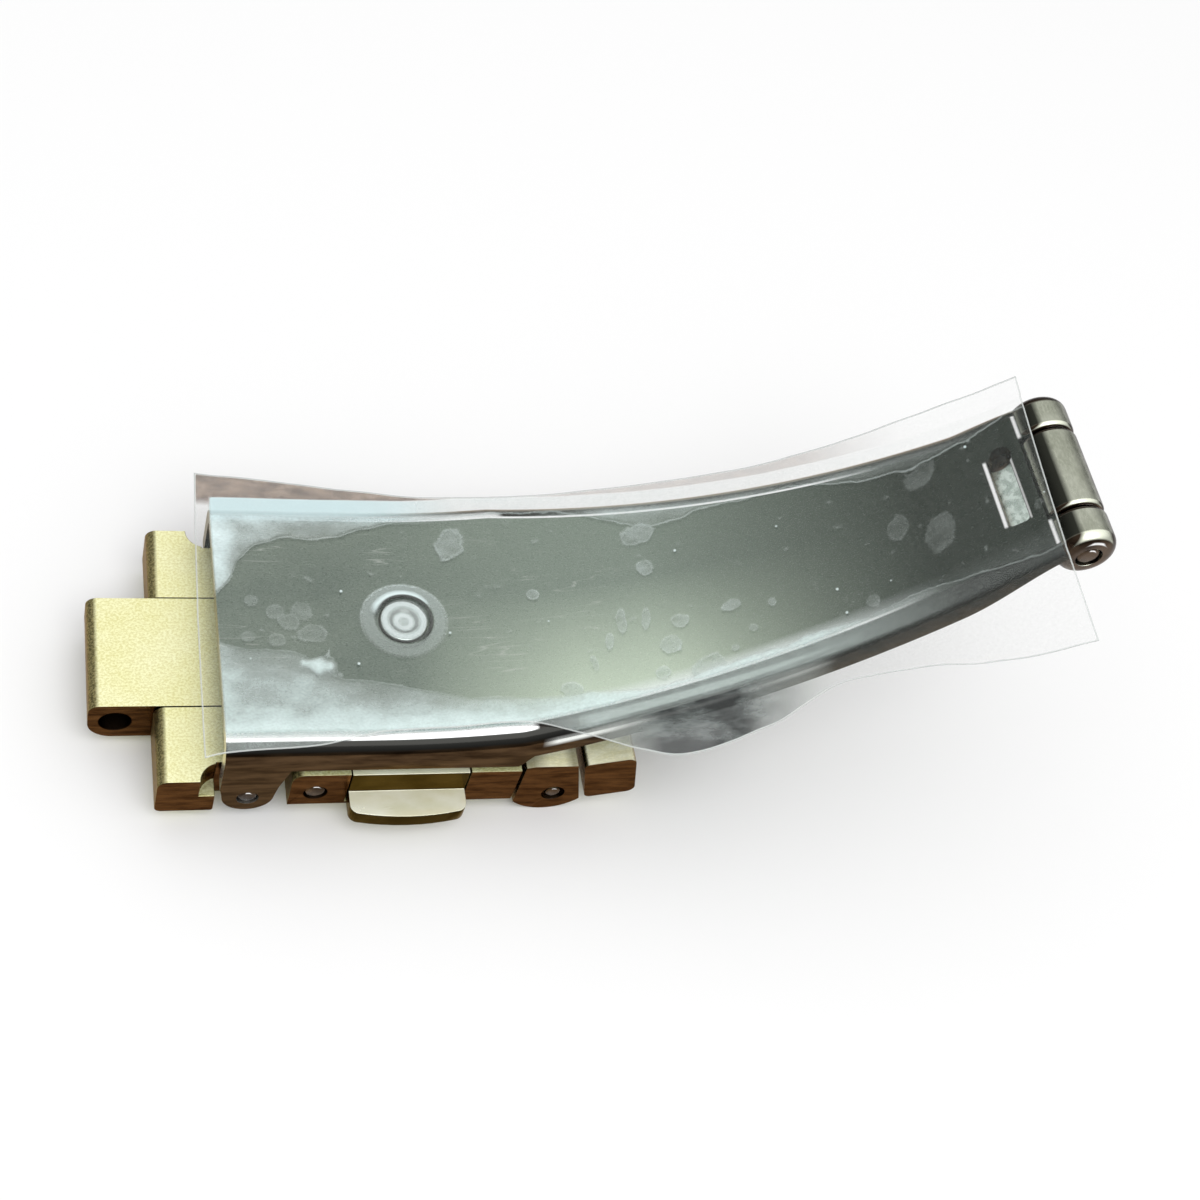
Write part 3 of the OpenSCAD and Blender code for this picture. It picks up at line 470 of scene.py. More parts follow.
def middle_steel():
    """The middle blade: a painted lit strip where the window shows it, and painted shade under the round
    hole.
    """
    m = Material("middle_steel", (0.43, 0.445, 0.37), metallic=1.0, roughness=0.3)
    x, y, _ = m.place()
    top = m.ramp(m.normal()["Z"], 0.2, 0.4)
    fleck = m.noise((2500, 2500, 2500), detail=3.0)
    strip = m.both(top, m.band(x, *STRIP_X), m.band(y, *STRIP_Y))
    off_x = m.math("DIVIDE", m.math("SUBTRACT", x, HOLE_SHADE_AT[0]), HOLE_SHADE_HALF[0])
    off_y = m.math("DIVIDE", m.math("SUBTRACT", y, HOLE_SHADE_AT[1]), HOLE_SHADE_HALF[1])
    out = m.math("ADD", m.math("MULTIPLY", off_x, off_x), m.math("MULTIPLY", off_y, off_y))
    # Painted light on the strip that the window shows
    painted_lit_strip = m.mix(m.ramp(fleck, 0.42, 0.58), (0.42, 0.50, 0.45), (0.74, 0.84, 0.78))
    # Painted shade: a dark brown patch under the round hole
    painted_hole_shade = m.mix(m.ramp(fleck, 0.42, 0.58), (0.040, 0.028, 0.020), (0.16, 0.115, 0.085))
    m.link(m.layers(turned_tone(m, (0.30, 0.315, 0.25), (0.43, 0.445, 0.37)), (strip, painted_lit_strip),
                    (m.both(top, m.ramp(out, 1.15, 0.95)), painted_hole_shade)), "Base Color")
    m.link(m.ramp(fleck, 0.3, 0.7, 0.24, 0.36), "Roughness")
    return m.mat


def rivet_steel():
    """Bright pressed head with painted rings of highlight and shade."""
    m = Material("rivet_steel", (0.6, 0.64, 0.62), metallic=1.0, roughness=0.22)
    x, y, _ = m.place()
    square = m.math("ADD", m.math("MULTIPLY", x, x), m.math("MULTIPLY", y, y))
    out = m.math("SQRT", square, 0.0)
    grain = m.noise((4000, 4000, 4000), detail=3.0)
    tone = m.mix(m.ramp(grain, 0.35, 0.65), (0.46, 0.52, 0.50), (0.62, 0.69, 0.67))
    # Painted highlights and painted shade: alternating bright and dark rings round the head's middle
    m.link(m.layers(tone, (m.band(out, 0.00024, 0.00034, 0.00048, 0.00058), (0.85, 0.92, 0.92)),
                    (m.band(out, 0.00058, 0.00066, 0.00074, 0.00084), (0.20, 0.22, 0.21)),
                    (m.band(out, 0.00088, 0.00098, 0.00114, 0.00124), (0.80, 0.88, 0.88)),
                    (m.ramp(out, 0.00126, 0.00134), (0.13, 0.14, 0.13))), "Base Color")
    m.bump(grain, 0.2, 0.01)
    return m.mat


def clear_film():
    """Clear film: vertex values say where air lies under it and how near its borders are; its colour and
    alpha carry painted reflection, highlights and shade.
    """
    m = Material("clear_film", (0.8, 0.88, 0.88), roughness=0.14)
    m.value("IOR", 1.6)
    m.value("Specular IOR Level", 0.8)
    x, y, _ = m.place()
    air, beyond, border = m.vertex_values("film_air")
    blister, ring, gain = m.vertex_values("film_marks")
    haze = m.noise((900, 1200, 1200), detail=4.0, rough=0.6)
    fine = m.noise((6000, 8000, 8000), detail=2.0)
    on_blade = m.ramp(beyond, -0.05, 0.12, 1.0, 0.0)
    soft_air = m.math("ADD", air, m.ramp(haze, 0.3, 0.7, -0.08, 0.08))
    lift = m.math("ADD", m.ramp(soft_air, -0.06, 0.22, 0.0, 0.5), m.ramp(soft_air, 0.1, 2.2, 0.0, 0.5))
    # Painted reflection: the film paler and less clear where air lies under it
    air_reflection = m.both(lift, gain, m.ramp(haze, 0.3, 0.7, 0.80, 1.16), m.ramp(fine, 0.3, 0.7, 0.90, 1.08))
    # Painted highlights: a line at the border of the air and rims round the blisters, with painted
    # reflection inside the blisters
    seam = m.math("MULTIPLY", m.band(soft_air, -0.04, 0.0, 0.04, 0.09), 0.2)
    fade = m.math("MINIMUM", m.ramp(x, 0.015, 0.026, 1.0, 0.35), m.ramp(x, -0.005, 0.001, 0.5, 1.0))
    dome = m.both(m.ramp(blister, 1.0, 0.80, 0.0, 0.15), m.ramp(haze, 0.3, 0.7, 0.4, 1.6), fade)
    dome_rim = m.both(m.band(blister, 0.72, 0.86, 0.94, 1.06), m.ramp(fine, 0.3, 0.7, 0.03, 0.17), fade)
    # Painted reflection and highlights round the rivet head, stronger on its far side
    far_side = m.ramp(y, -0.0016, 0.0022, 0.25, 1.0)
    halo = m.math("MULTIPLY", m.band(ring, 1.45, 1.7, 2.2, 2.42), m.ramp(far_side, 0.0, 1.0, 0.12, 0.24))
    crescent = m.both(m.band(ring, 1.40, 1.50, 1.72, 2.08), m.ramp(y, 0.0002, 0.0011),
                      m.ramp(x, 0.0018, 0.0008), m.ramp(haze, 0.3, 0.7, 0.8, 1.0))
    halo_rim = m.both(m.band(ring, 2.16, 2.28, 2.34, 2.46), far_side, m.ramp(fine, 0.3, 0.7, 0.16, 0.42))
    cap = m.ramp(ring, 1.2, 1.32, 0.16, 0.0)
    spots = m.node("ShaderNodeTexVoronoi")
    spots.inputs["Scale"].default_value = 1.0
    m.join(m.stretched((520, 520, 520)), spots.inputs["Vector"])
    speck = m.ramp(spots.outputs["Distance"], 0.03, 0.055, 0.6, 0.0)
    total = air_reflection
    for part in (m.math("ADD", dome, dome_rim), seam, halo, halo_rim, crescent, cap, speck):
        total = m.math("MAXIMUM", total, part)
    # Painted reflection on the film over the far bend
    far_bend = m.both(m.ramp(y, 0.0064, 0.0072), m.ramp(x, 0.005, -0.003, 0.0, 0.88))
    total = m.math("MAXIMUM", total, far_bend)
    total = m.math("MULTIPLY", total, on_blade)
    # Painted shade: a dark ring beside the rivet head, stronger towards +x
    shade = m.both(m.band(ring, 1.34, 1.44, 1.52, 1.64), m.ramp(x, -0.0014, 0.0014, 0.15, 0.6))
    edge = m.ramp(border, 0.05, 0.10, 0.55, 0.0)
    sheen = m.noise((140, 900, 900), detail=4.0, rough=0.65)
    drape = m.both(m.ramp(beyond, 0.02, 0.15), m.ramp(y, -0.002, -0.004), m.band(x, *DRAPE_X))
    flap = m.both(m.ramp(beyond, 0.0, 0.08), m.ramp(y, 0.002, 0.004), m.ramp(x, *FLAP_WEAKER, 1.0, 0.35))
    corner = m.math("MAXIMUM", m.ramp(x, -0.0098, -0.0094), m.ramp(y, 0.0074, 0.0080))
    flap = m.both(flap, corner, m.ramp(x, *FLAP_END, 1.0, 0.0))
    # Painted reflection: the film past the far edge a mottled brown
    brown_mottle = m.noise((900, 2200, 2200), detail=4.0, rough=0.7)
    # Painted shade: the film past the near edge a dark grey
    drape_shade = m.mix(m.ramp(sheen, 0.44, 0.68), (0.030, 0.036, 0.035), (0.23, 0.26, 0.25))
    painted_brown_reflection = m.mix(m.ramp(brown_mottle, 0.38, 0.62), (0.12, 0.074, 0.044), (0.34, 0.25, 0.18))
    # Colour of the painted reflection: lighter towards the far side, darker over the far bend
    tint = m.mix(m.ramp(y, -0.003, 0.004), (0.79, 0.93, 0.91), (0.86, 1.0, 1.0))
    tint = m.mix(m.ramp(y, 0.0062, 0.0070), tint, (0.62, 0.79, 0.81))
    colour = m.layers(m.mix(m.ramp(total, 0.0, 0.5), (0.55, 0.60, 0.56), tint),
                      (m.ramp(shade, 0.0, 0.2), (0.04, 0.045, 0.04)),
                      (drape, drape_shade),
                      (m.ramp(flap, 0.0, 0.3), painted_brown_reflection),
                      (m.ramp(edge, 0.0, 0.3), (0.72, 0.76, 0.74)))
    m.link(colour, "Base Color")
    alpha = m.math("ADD", m.ramp(total, 0.0, 1.0, 0.02, 0.86), m.ramp(fine, 0.3, 0.7, 0.0, 0.03))
    alpha = m.math("MAXIMUM", alpha, m.math("MULTIPLY", drape, 0.75))
    alpha = m.math("MAXIMUM", alpha, m.math("MULTIPLY", flap, 0.62))
    m.link(m.ramp(drape, 0.0, 1.0, 0.8, 0.3), "Specular IOR Level")
    m.link(m.math("MAXIMUM", m.math("MAXIMUM", alpha, shade), edge), "Alpha")
    m.bump(haze, 0.2, 0.03)
    return m.mat


GOLD = satin_gold()
GOLD_TAB = satin_gold("satin_gold_tab", bore=TAB_BORE)
GOLD_BLOCK = satin_gold("satin_gold_block", bore=COVER_PIN)
GOLD_BRIGHT = satin_gold("bright_top_gold", polished=True, bore=LAST_RECESS)
GOLD_POLISHED = polished_gold()
BLADE = blade_steel()
BARREL = turned_steel("barrel_steel", (0.30, 0.315, 0.25), (0.43, 0.445, 0.37), 0.3)
MIDDLE_STEEL = middle_steel()
RIVET = rivet_steel()
PIN_GOLD = turned_steel("pin_gold", (0.40, 0.34, 0.18), (0.56, 0.50, 0.30), 0.25, 0.1,
                        (0.012, 0.006, 0.002), (0.10, 0.055, 0.022))
STEEL_DARK = turned_steel("dark_steel", (0.20, 0.19, 0.17), (0.32, 0.31, 0.28), 0.25)
STEEL_INNER = turned_steel("inner_steel", (0.42, 0.43, 0.41), (0.56, 0.57, 0.55), 0.35)
FILM = clear_film()

aim_camera()
light_world()
add_lamp("key", (0.05, -0.45, 0.89), 0.4, 0.3, 0.5)
lay_floor()


# CAD nodes: rounded edges and materials

def add_bevel(piece, width_mm, segments, angle):
    """Rounds the edges that are sharper than the angle."""
    bevel = piece.modifiers.new("edges", "BEVEL")
    bevel.width = width_mm * MM
    bevel.segments = segments
    bevel.limit_method = "ANGLE"
    bevel.angle_limit = math.radians(angle)
    bevel.harden_normals = True


def weigh_normals(piece):
    normals = piece.modifiers.new("normals", "WEIGHTED_NORMAL")
    normals.keep_sharp = True
    piece.data.shade_smooth()


def finish_node(name, material, bevel_mm, segments=3):
    """Merges a CAD node's flat faces, rounds its edges and gives it its material."""
    node = nodes[name]
    weld = node.modifiers.new("weld", "WELD")
    weld.merge_threshold = 1e-6
    flats = node.modifiers.new("flats", "DECIMATE")
    flats.decimate_type = "DISSOLVE"
    flats.angle_limit = math.radians(0.5)
    if bevel_mm:
        add_bevel(node, bevel_mm, segments, EDGE_ANGLE)
    split = node.modifiers.new("creases", "EDGE_SPLIT")
    split.split_angle = math.radians(40)
    weigh_normals(node)
    node.data.materials.clear()
    node.data.materials.append(material)


# Node, material, width of the rounded edges in mm, and their segments
FINISHES = [
    ("latch_stud", RIVET, 0.04, 2),
    ("main_hinge_pin", STEEL_DARK, 0.3, 4),
    ("end_link_pin", STEEL_DARK, 0.25, 4),
    ("end_link_centre", GOLD_TAB, 0.14),
    ("end_link_side_near", GOLD, 0.14),
    ("end_link_side_far", GOLD, 0.14),
    ("end_link_cross_pin", STEEL_DARK, 0.15),
    ("middle_blade", MIDDLE_STEEL, 0.06, 2),
    ("cover_hinge_pin", PIN_GOLD, 0.2, 4),
    ("cover_block", GOLD_BLOCK, 0.1),
    ("retaining_plate", STEEL_INNER, 0.05, 2),
    ("plate_screws", STEEL_DARK, 0.04, 2),
    ("latch_wires", STEEL_INNER, 0.05, 2),
    ("cover_end_piece", GOLD_BRIGHT, 0.12),
    ("end_piece_dowels", STEEL_DARK, 0.1, 2),
    ("button_near", GOLD_POLISHED, 0.14, 4),
    ("button_far", GOLD_POLISHED, 0.14, 4),
    ("near_button_springs", STEEL_INNER, 0),
    ("far_button_springs", STEEL_INNER, 0),
    ("last_link", GOLD_BRIGHT, 0.14),
    ("last_link_pin", PIN_GOLD, 0.15, 4),
]
for finish in FINISHES:
    finish_node(*finish)


# Places on the inner blade

def arc_place(x):
    """Length along the blade's surface of the place whose distance from the stud is x."""
    if x <= CURVE_X:
        return x
    return CURVE_X + CURVE_R * math.asin((x - CURVE_X) / CURVE_R)


def on_blade(s, y, h):
    """Point in metres at length s along the blade and height h above its wrist side."""
    if s <= CURVE_X:
        return Vector((s, y, FLAT_Z + h)) * MM
    a = (s - CURVE_X) / CURVE_R
    r = CURVE_R - h
    return Vector((CURVE_X + r * math.sin(a), y, CURVE_Z - r * math.cos(a))) * MM


def smooth_step(low, high, value):
    t = min(1.0, max(0.0, (value - low) / (high - low)))
    return t * t * (3 - 2 * t)


def blade_half(s):
    """Half width of the blade at length s along it."""
    x = s if s <= CURVE_X else CURVE_X + CURVE_R * math.sin((s - CURVE_X) / CURVE_R)
    return BLADE_HALF - max(0.0, x - TAPER_X) * TAPER_SLOPE


def add_mesh(name, form, material):
    mesh = bpy.data.meshes.new(name)
    form.to_mesh(mesh)
    form.free()
    mesh.materials.append(material)
    piece = bpy.data.objects.new(name, mesh)
    bpy.context.scene.collection.objects.link(piece)
    return piece


# The inner blade, with its bent edges rounded

BEND_R = 1.3
FILLET_R = 0.15
BARREL_ROUND = 0.7
KNUCKLE_ROUND = 0.3
STUD_R = 0.78
SIGHT_R = 0.62
SIGHT_OFF = 0.2
# How far the cutters reach over the plate's wrist side and under it
CUT_ABOVE = 0.6
CUT_BELOW = PLATE_T + 0.1


def wall_foot(s):
    """Depth of the side wall below the wrist side at length s, along the surface's normal."""
    a = max(0.0, (s - CURVE_X) / CURVE_R)
    x = s if a == 0 else CURVE_X + CURVE_R * math.sin(a)
    top = CURVE_Z - CURVE_R * math.cos(a)
    end_s = CURVE_X + CURVE_R * math.radians(CURVE_A)
    thin = WALL_H - (WALL_H - PLATE_T - 0.15) * smooth_step(end_s - 7.0, end_s - 1.2, s)
    if x < EAR_X - EAR_R:
        low = EAR_Z + 0.8 * (EAR_X - EAR_R - x) / (EAR_X - EAR_R + BLADE_LEFT)
    elif x < EAR_X + EAR_R:
        low = EAR_Z - math.sqrt(max(0.0, EAR_R ** 2 - (x - EAR_X) ** 2))
    elif x < EAR_X + EAR_R + 0.15:
        low = EAR_Z + 0.9 * (x - EAR_X - EAR_R) / 0.15
    elif x < EAR_X + EAR_R + 0.6:
        low = EAR_Z + 0.9 + (WALL_LOW_Z - EAR_Z - 0.9) * (x - EAR_X - EAR_R - 0.15) / 0.45
    elif x < WALL_SLANT_X:
        low = WALL_LOW_Z
    else:
        low = WALL_LOW_Z + 1.25 * (x - WALL_SLANT_X)
    return max(thin, (top - low) / math.cos(a))


def channel_profile(half, foot):
    """The blade's section as (across, depth) points, near wall first, round its outside and back inside."""
    inner_r = 0.2
    r = FILLET_R
    bend = min(BEND_R, foot - r - 0.02)
    side = [(half, foot - r), (half, bend)]
    for k in range(1, 13):
        a = math.radians(90 * k / 12)
        side.append((half - bend + bend * math.cos(a), bend - bend * math.sin(a)))
    wall_in = half - PLATE_T
    under = [(wall_in - inner_r, PLATE_T), (wall_in - inner_r * 0.3, PLATE_T + inner_r * 0.3)]
    under += [(wall_in, min(PLATE_T + inner_r, foot - r)), (wall_in, foot - r), (wall_in + r, foot)]
    under += [(half - r, foot)]
    near = [(-y, d) for y, d in side]
    return near + side[::-1] + [(y, d) for y, d in under[::-1]] + [(-y, d) for y, d in under]


def sweep(stations, profile_at):
    """A closed bmesh through one ring of points at each station."""
    form = bmesh.new()
    rings = [[form.verts.new(p) for p in profile_at(s)] for s in stations]
    count = len(rings[0])
    for one, two in zip(rings, rings[1:]):
        for j in range(count):
            k = (j + 1) % count
            form.faces.new((one[j], one[k], two[k], two[j]))
    form.faces.new(rings[0][::-1])
    form.faces.new(rings[-1])
    bmesh.ops.recalc_face_normals(form, faces=form.faces)
    return form


def lathe(form, points, x, z, segments=64):
    """Turns closed (y, radius) points about the line along y at x, z."""
    rings = []
    for k in range(segments):
        a = 2 * math.pi * k / segments
        across = [(x + r * math.cos(a), y, z + r * math.sin(a)) for y, r in points]
        rings.append([form.verts.new(Vector(place) * MM) for place in across])
    made = []
    for one, two in zip(rings, rings[1:] + rings[:1]):
        for j in range(len(points)):
            k = (j + 1) % len(points)
            made.append(form.faces.new((one[j], one[k], two[k], two[j])))
    bmesh.ops.recalc_face_normals(form, faces=made)


def close_tube(form, one, two):
    """Faces between two rings of points and over both of its ends."""
    made = [form.faces.new(one), form.faces.new(two[::-1])]
    for k in range(len(one)):
        j = (k + 1) % len(one)
        made.append(form.faces.new((one[k], two[k], two[j], one[j])))
    bmesh.ops.recalc_face_normals(form, faces=made)


def circle_places(r, segments):
    """Points round a circle as (along, across)."""
    turns = [2 * math.pi * k / segments for k in range(segments)]
    return [(r * math.cos(a), r * math.sin(a)) for a in turns]


def add_cylinder(form, x, z, r, y0, y1, segments=64):
    """A closed cylinder along y, as a cutter."""
    ends = []
    for y in (y0, y1):
        ends.append([form.verts.new(Vector((x + u, y, z + v)) * MM) for u, v in circle_places(r, segments)])
    close_tube(form, *ends)


def add_window_cutter(form):
    """The window's outline with rounded corners, through the plate."""
    r = 0.25
    outline = []
    for sx, sy, start in ((1, 1, 0), (-1, 1, 90), (-1, -1, 180), (1, -1, 270)):
        for k in range(5):
            a = math.radians(start + 90 * k / 4)
            along = sx * (WINDOW_L / 2 - r) + r * math.cos(a)
            across = sy * (WINDOW_W / 2 - r) + r * math.sin(a)
            outline.append((along, across))
    top = [form.verts.new(on_blade(WINDOW_S + s, y, CUT_ABOVE)) for s, y in outline]
    low = [form.verts.new(on_blade(WINDOW_S + s, y, -CUT_BELOW)) for s, y in outline]
    close_tube(form, top, low)


def add_round_cutter(form, s, along, y, r, segments=48):
    """A closed cylinder through the plate, square to it at s and moved along it and across."""
    a = max(0.0, (s - CURVE_X) / CURVE_R)
    outward = Vector((-math.sin(a), 0.0, math.cos(a))) * MM
    tangent = Vector((math.cos(a), 0.0, math.sin(a))) * MM
    middle = on_blade(s, y, 0.0) + tangent * along
    ends = []
    for depth in (CUT_BELOW, -CUT_ABOVE):
        ends.append([
            form.verts.new(middle - outward * depth + tangent * u + Vector((0.0, v, 0.0)) * MM)
            for u, v in circle_places(r, segments)
        ])
    close_tube(form, *ends)


def cut_away(piece, cutters):
    """Takes the cutters' form out of the piece's mesh for good."""
    mesh = bpy.data.meshes.new("cutters")
    cutters.to_mesh(mesh)
    cutters.free()
    tool = bpy.data.objects.new("cutters", mesh)
    bpy.context.scene.collection.objects.link(tool)
    boolean = piece.modifiers.new("cut", "BOOLEAN")
    boolean.operation = "DIFFERENCE"
    boolean.solver = "EXACT"
    boolean.use_self = True
    boolean.object = tool
    settled = piece.evaluated_get(bpy.context.evaluated_depsgraph_get())
    kept = bpy.data.meshes.new_from_object(settled)
    piece.modifiers.clear()
    piece.data = kept
    bpy.data.objects.remove(tool)


def round_edges(piece, width_mm, segments, angle=EDGE_ANGLE):
    add_bevel(piece, width_mm, segments, angle)
    weigh_normals(piece)


def build_blade():
    end_s = CURVE_X + CURVE_R * math.radians(CURVE_A - 0.4)
    fine = [-BLADE_LEFT + 0.06 * k for k in range(61)]
    # Closer rings at the flat end and where the taper starts
    stations = fine + [5.0 + 0.1 * k for k in range(20)]
    s = fine[-1] + 0.3
    while s < end_s - 0.05:
        if not 4.9 < s < 7.0:
            stations.append(s)
        s += 0.3
    stations = sorted(stations + [end_s])

    def ring(s):
        return [on_blade(s, y, -d) for y, d in channel_profile(blade_half(s), wall_foot(s))]

    blade = add_mesh("blade_plate", sweep(stations, ring), BLADE)
    cutters = bmesh.new()
    add_cylinder(cutters, EAR_X, EAR_Z, 0.58, -9, 9)
    add_cylinder(cutters, BARREL_X, BARREL_Z, BARREL_R + 0.15, -KNUCKLE_HALF, KNUCKLE_HALF)
    add_window_cutter(cutters)
    add_round_cutter(cutters, WINDOW_S, SIGHT_OFF, WINDOW_W / 2 - 0.1, SIGHT_R)
    add_round_cutter(cutters, 0.0, 0.0, 0.0, STUD_R)
    cut_away(blade, cutters)
    round_edges(blade, 0.05, 2)

    form = bmesh.new()
    r, e, i = BARREL_R, BARREL_ROUND, KNUCKLE_ROUND
    for side in (-1, 1):
        points = [(side * KNUCKLE_HALF, 0.73)]
        for k in range(9):
            a = math.radians(90 * k / 8)
            points.append((side * (KNUCKLE_HALF + i - i * math.cos(a)), r - i + i * math.sin(a)))
        for k in range(9):
            a = math.radians(90 * k / 8)
            points.append((side * (BARREL_HALF - e + e * math.sin(a)), r - e + e * math.cos(a)))
        points.append((side * BARREL_HALF, 0.73))
        lathe(form, points, BARREL_X, BARREL_Z)
    knuckles = add_mesh("blade_knuckles", form, BARREL)
    round_edges(knuckles, 0.03, 2, 50)
    for piece in (blade, knuckles):
        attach(piece, "inner_blade")
        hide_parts("inner_blade")


build_blade()


# The film, laid over the inner blade

# Places along the band and across it where the film's edges run
FAR_EDGE = [
    (-11.2, 9.7), (-10.25, 9.62), (-5.56, 9.14), (-2.18, 8.75), (1.79, 8.25), (5.23, 8.05),
    (8.37, 7.83), (11.87, 7.66), (16.73, 7.3), (20.22, 6.98), (25.24, 6.84), (28.4, 6.75), (32.4, 6.5),
]
NEAR_EDGE = [
    (-11.2, -8.37), (-10.08, -8.11), (-5.23, -7.74), (-3.29, -7.31), (-1.74, -6.98), (1.89, -6.89),
    (5.89, -6.94), (8.75, -8.07), (11.19, -9.16), (13.62, -9.72), (17.86, -9.16), (21.26, -8.1),
    (24.94, -8.57), (27.42, -9.38), (29.79, -10.18), (32.0, -10.6),
]
# Where the film stops clinging to the blade, towards its far and near edges
FAR_CLING = [
    (-11.5, 0.6), (-9.4, 2.2), (-8.4, 4.2), (-6.6, 5.3), (-3.8, 5.5), (-0.5, 6.4), (3.3, 7.0), (7.3, 6.8),
    (10.3, 6.3), (12.4, 5.2), (15.2, 4.6), (17.2, 5.1), (20.2, 5.0), (22.8, 4.7), (25.3, 3.8),
    (27.7, 3.5), (29.1, 3.9), (32.5, 4.4),
]
NEAR_CLING = [
    (-11.5, 0.2), (-9.4, -1.6), (-5.9, -2.0), (-4.3, -3.5), (-1.6, -3.9), (1.5, -4.8), (4.0, -5.1),
    (7.1, -5.4), (10.3, -5.5), (12.9, -5.7), (15.8, -5.2), (20.8, -4.6), (24.3, -4.4), (27.7, -4.2),
    (29.2, -4.4), (32.5, -4.6),
]
# Blisters of air: place along and across, half sizes, turn in degrees
BLISTERS = [
    (3.1, 5.0, 0.8, 1.2, -25), (13.4, 4.2, 1.0, 0.7, 15), (13.4, 1.9, 0.5, 0.5, 0),
    (7.2, 1.2, 0.4, 0.35, 0), (-5.5, 0.6, 0.6, 0.6, 0), (-6.9, 0.6, 0.5, 0.45, 30),
    (-8.1, 1.3, 0.4, 0.35, 0), (-6.2, -0.1, 0.6, 0.5, 0), (-5.0, -0.8, 0.8, 0.55, 10),
    (-8.4, -1.0, 0.4, 0.35, 0), (-6.9, -1.2, 0.45, 0.4, 0),
    (8.4, -5.1, 0.6, 0.5, 0), (9.8, -3.7, 0.2, 0.55, 10), (10.8, -2.4, 0.25, 0.6, -10),
    (13.9, -3.3, 0.65, 0.6, 0), (15.6, -5.1, 1.0, 0.75, 20), (13.2, -4.9, 0.4, 0.4, 0),
    (23.9, -3.7, 0.4, 0.4, 0), (25.9, 0.2, 0.6, 0.8, -20), (27.6, -1.0, 0.8, 1.3, -25),
    (27.5, 2.9, 1.1, 0.6, 30), (17.0, -4.3, 0.22, 0.22, 0), (18.1, -3.3, 0.25, 0.25, 0),
    (11.6, -1.3, 0.28, 0.9, -5), (12.9, -1.4, 0.25, 0.8, -12), (14.6, -1.9, 0.5, 0.45, 0),
    (17.3, -1.6, 0.6, 0.35, 15), (19.3, -2.0, 0.25, 0.3, 0),
]


class Outline:
    """A smooth curve through (x, y) places, read at a length along the blade."""

    def __init__(self, places):
        self.s = [arc_place(x) for x, _ in places]
        self.y = [y for _, y in places]

    def __call__(self, s):
        s = min(max(s, self.s[0]), self.s[-1])
        i = max(k for k in range(len(self.s) - 1) if self.s[k] <= s)
        span = self.s[i + 1] - self.s[i]
        t = (s - self.s[i]) / span
        m0 = self.slope(i) * span
        m1 = self.slope(i + 1) * span
        t2, t3 = t * t, t * t * t
        return (
            (2 * t3 - 3 * t2 + 1) * self.y[i] + (t3 - 2 * t2 + t) * m0
            + (3 * t2 - 2 * t3) * self.y[i + 1] + (t3 - t2) * m1
        )

    def slope(self, i):
        low, high = max(0, i - 1), min(len(self.s) - 1, i + 1)
        return (self.y[high] - self.y[low]) / (self.s[high] - self.s[low])


far_edge, near_edge = Outline(FAR_EDGE), Outline(NEAR_EDGE)
far_cling, near_cling = Outline(FAR_CLING), Outline(NEAR_CLING)


def ripple(s, y, length, seed):
    """Soft noise from -1 to 1 whose waves are about length mm long."""
    return noise.noise(Vector((s / length, y / length, seed)))


def blister_at(s, y):
    """Distance from the nearest blister's middle, where 1 is its rim."""
    nearest = 3.0
    for x, yy, a, b, turn in BLISTERS:
        c = arc_place(x)
        if abs(s - c) > 3 or abs(y - yy) > 3:
            continue
        w = math.radians(turn)
        u = ((s - c) * math.cos(w) + (y - yy) * math.sin(w)) / a
        v = ((y - yy) * math.cos(w) - (s - c) * math.sin(w)) / b
        wobble = 0.24 * ripple(s, y, 0.7, 3.1) + 0.16 * ripple(s, y, 0.28, 5.7)
        nearest = min(nearest, math.hypot(u, v) * (1 + wobble))
    return nearest


def crinkle_at(s, y):
    """The small sharp wrinkle at the border of the air near the stud."""
    along, across = s + 4.9, y + 3.0
    out = math.hypot((along + 0.6 * across) * 0.75, across - 0.3 * along)
    return 0.8 * (1 - smooth_step(0.1, 1.0, out * (1 + 0.6 * ripple(s, y, 0.5, 6.0))))


def film_gain(s, y, half):
    """How bright the painted reflection on the air under the film is: strong at the flat end, fainter along
    the curve.
    """
    # Painted light: brighter towards the edges and the left end, dimmer over the bends, and bright at the
    # crinkle
    if y > 0:
        side = 1.15 - 0.65 * smooth_step(2.0, 18.0, s) - 0.18 * smooth_step(20.0, 30.0, s)
        glow = 1 - smooth_step(0.2, 2.0, half - y)
    else:
        side = 0.80 + 0.20 * smooth_step(-4.0, 2.0, s) - 0.88 * smooth_step(20.0, 31.0, s)
        glow = 1 - smooth_step(0.5, 3.6, half + y)
    left = 1 - smooth_step(0.2, 1.6, s + BLADE_LEFT)
    drift = 0.20 * ripple(s, y, 2.8, 5.0) + 0.08 * ripple(s, y, 0.9, 8.0)
    bend = 1 - 0.75 * smooth_step(-BEND_R, -BEND_R + 0.35, abs(y) - half)
    return bend * max(side * (0.36 + drift + 0.58 * max(glow, 0.6 * left)), crinkle_at(s, y))


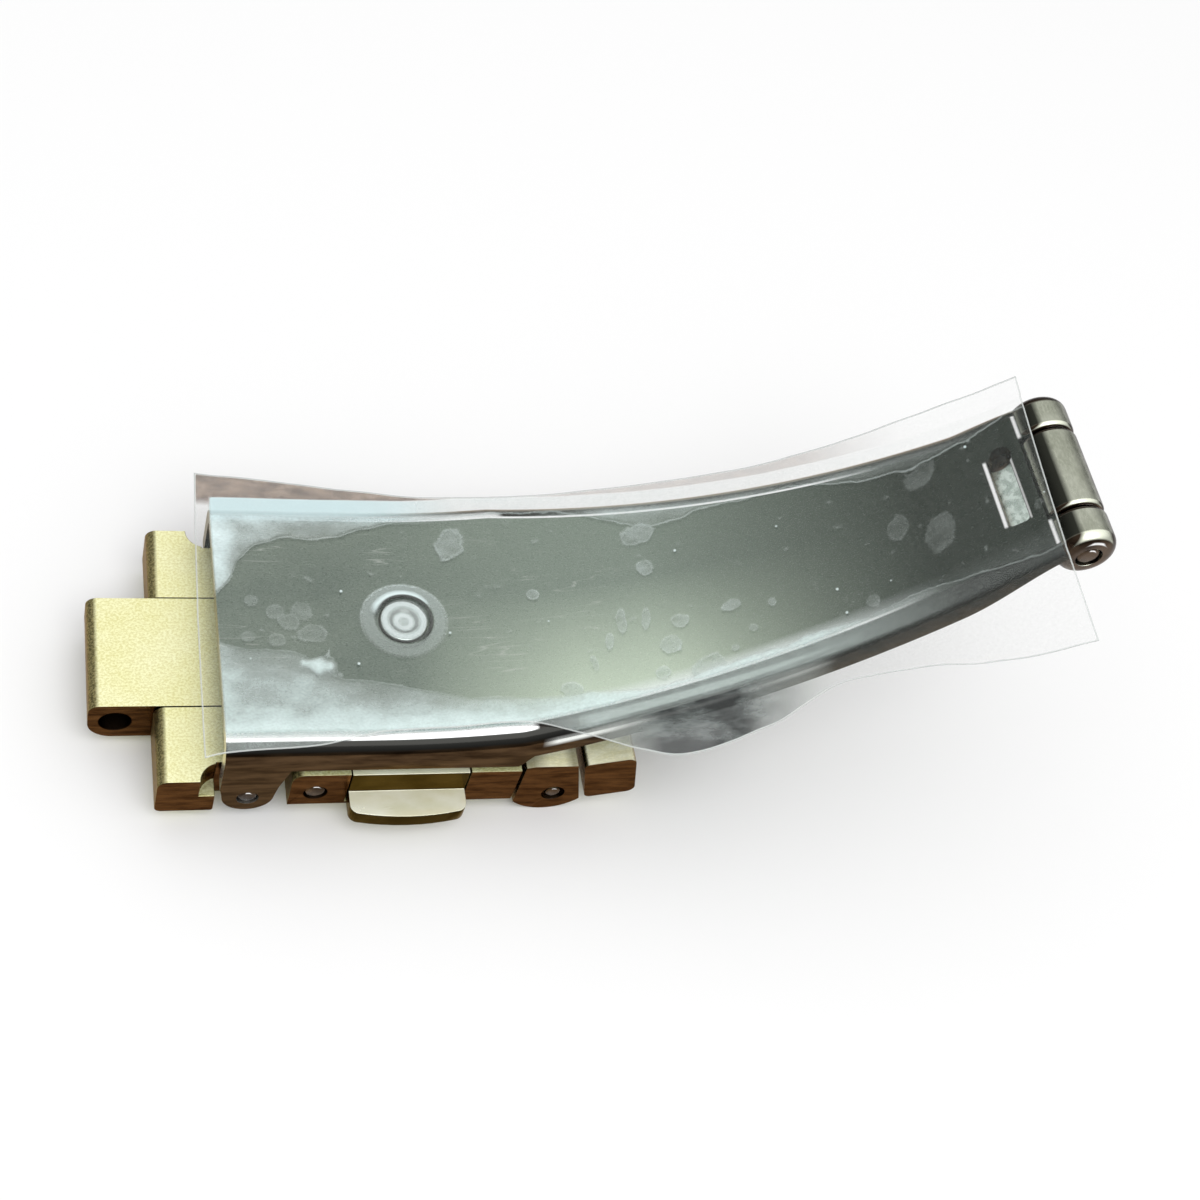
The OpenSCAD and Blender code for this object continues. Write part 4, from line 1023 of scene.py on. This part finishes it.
def film_at(s, y):
    """Height of the film, and the values that its material reads there."""
    half = blade_half(s)
    wander = 0.22 * ripple(s, y, 2.6, 7.0) + 0.07 * ripple(s, y, 0.9, 2.0)
    air_mm = max(y - far_cling(s) + wander, near_cling(s) - y + wander, 2.2 * crinkle_at(s, y) - 0.1)
    air = smooth_step(-0.12, 0.3, air_mm)
    beyond_near = max(0.0, -y - half)
    beyond = max(abs(y) - half, -BLADE_LEFT - s)
    off = smooth_step(0.0, 0.5, beyond)
    # Waves of the free margins, and the drop over the near edge
    height = 0.11 + 0.14 * air + 0.05 * air * ripple(s, y, 2.2, 1.0)
    free = min(max(0.0, beyond), 2.5)
    height += free * (0.10 * ripple(s, y, 5.0, 4.0) + 0.05 * ripple(s, y, 1.8, 9.0))
    drop = smooth_step(7.0, 11.0, s) * (1 - smooth_step(19.0, 24.0, s))
    height -= 0.10 * drop * beyond_near ** 2
    blister = blister_at(s, y)
    height += 0.05 * (1 - smooth_step(0.5, 1.0, blister)) * (1 - air)
    # Over the barrel
    height += 0.17 * smooth_step(34.4, 35.2, s) * (1 - off)
    # Over the rivet head, with a dip in its middle
    ring = math.hypot(s, y)
    height += 0.17 * (1 - smooth_step(RIVET_R, 2.4, ring))
    height -= 0.03 * (1 - smooth_step(0.4, 1.0, ring))
    return height, (air_mm, beyond), (blister, ring, film_gain(s, y, half))


def build_film():
    rows, columns = 360, 160
    left_s = -11.05
    near_right = arc_place(31.94)
    stop_s = arc_place(32.2)
    form = bmesh.new()
    grid, airs, marks = [], [], []
    for i in range(rows + 1):
        t = i / rows
        line = []
        for j in range(columns + 1):
            v = j / columns
            right_s = near_right + (stop_s - near_right) * v
            s = left_s + 0.4 * v * v + (right_s - left_s) * t
            low, high = near_edge(s), far_edge(s)
            y = low + (high - low) * v
            height, air, mark = film_at(s, y)
            border = min(t * (right_s - left_s), (1 - t) * (right_s - left_s), y - low, high - y)
            line.append(form.verts.new(on_blade(s, y, height)))
            airs.extend((*air, border))
            marks.extend(mark)
        grid.append(line)
    for i in range(rows):
        for j in range(columns):
            face = form.faces.new((grid[i][j], grid[i + 1][j], grid[i + 1][j + 1], grid[i][j + 1]))
            face.smooth = True
    flat_area = sum(face.calc_area() for face in form.faces)
    film = add_mesh("film_sheet", form, FILM)
    for name, values in (("film_air", airs), ("film_marks", marks)):
        layer = film.data.attributes.new(name, "FLOAT_VECTOR", "POINT")
        layer.data.foreach_set("vector", values)
    solid = film.modifiers.new("thickness", "SOLIDIFY")
    solid.thickness = 0.05 * MM
    solid.offset = 0.0
    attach(film, "inner_blade")
    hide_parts("protective_film")


build_film()
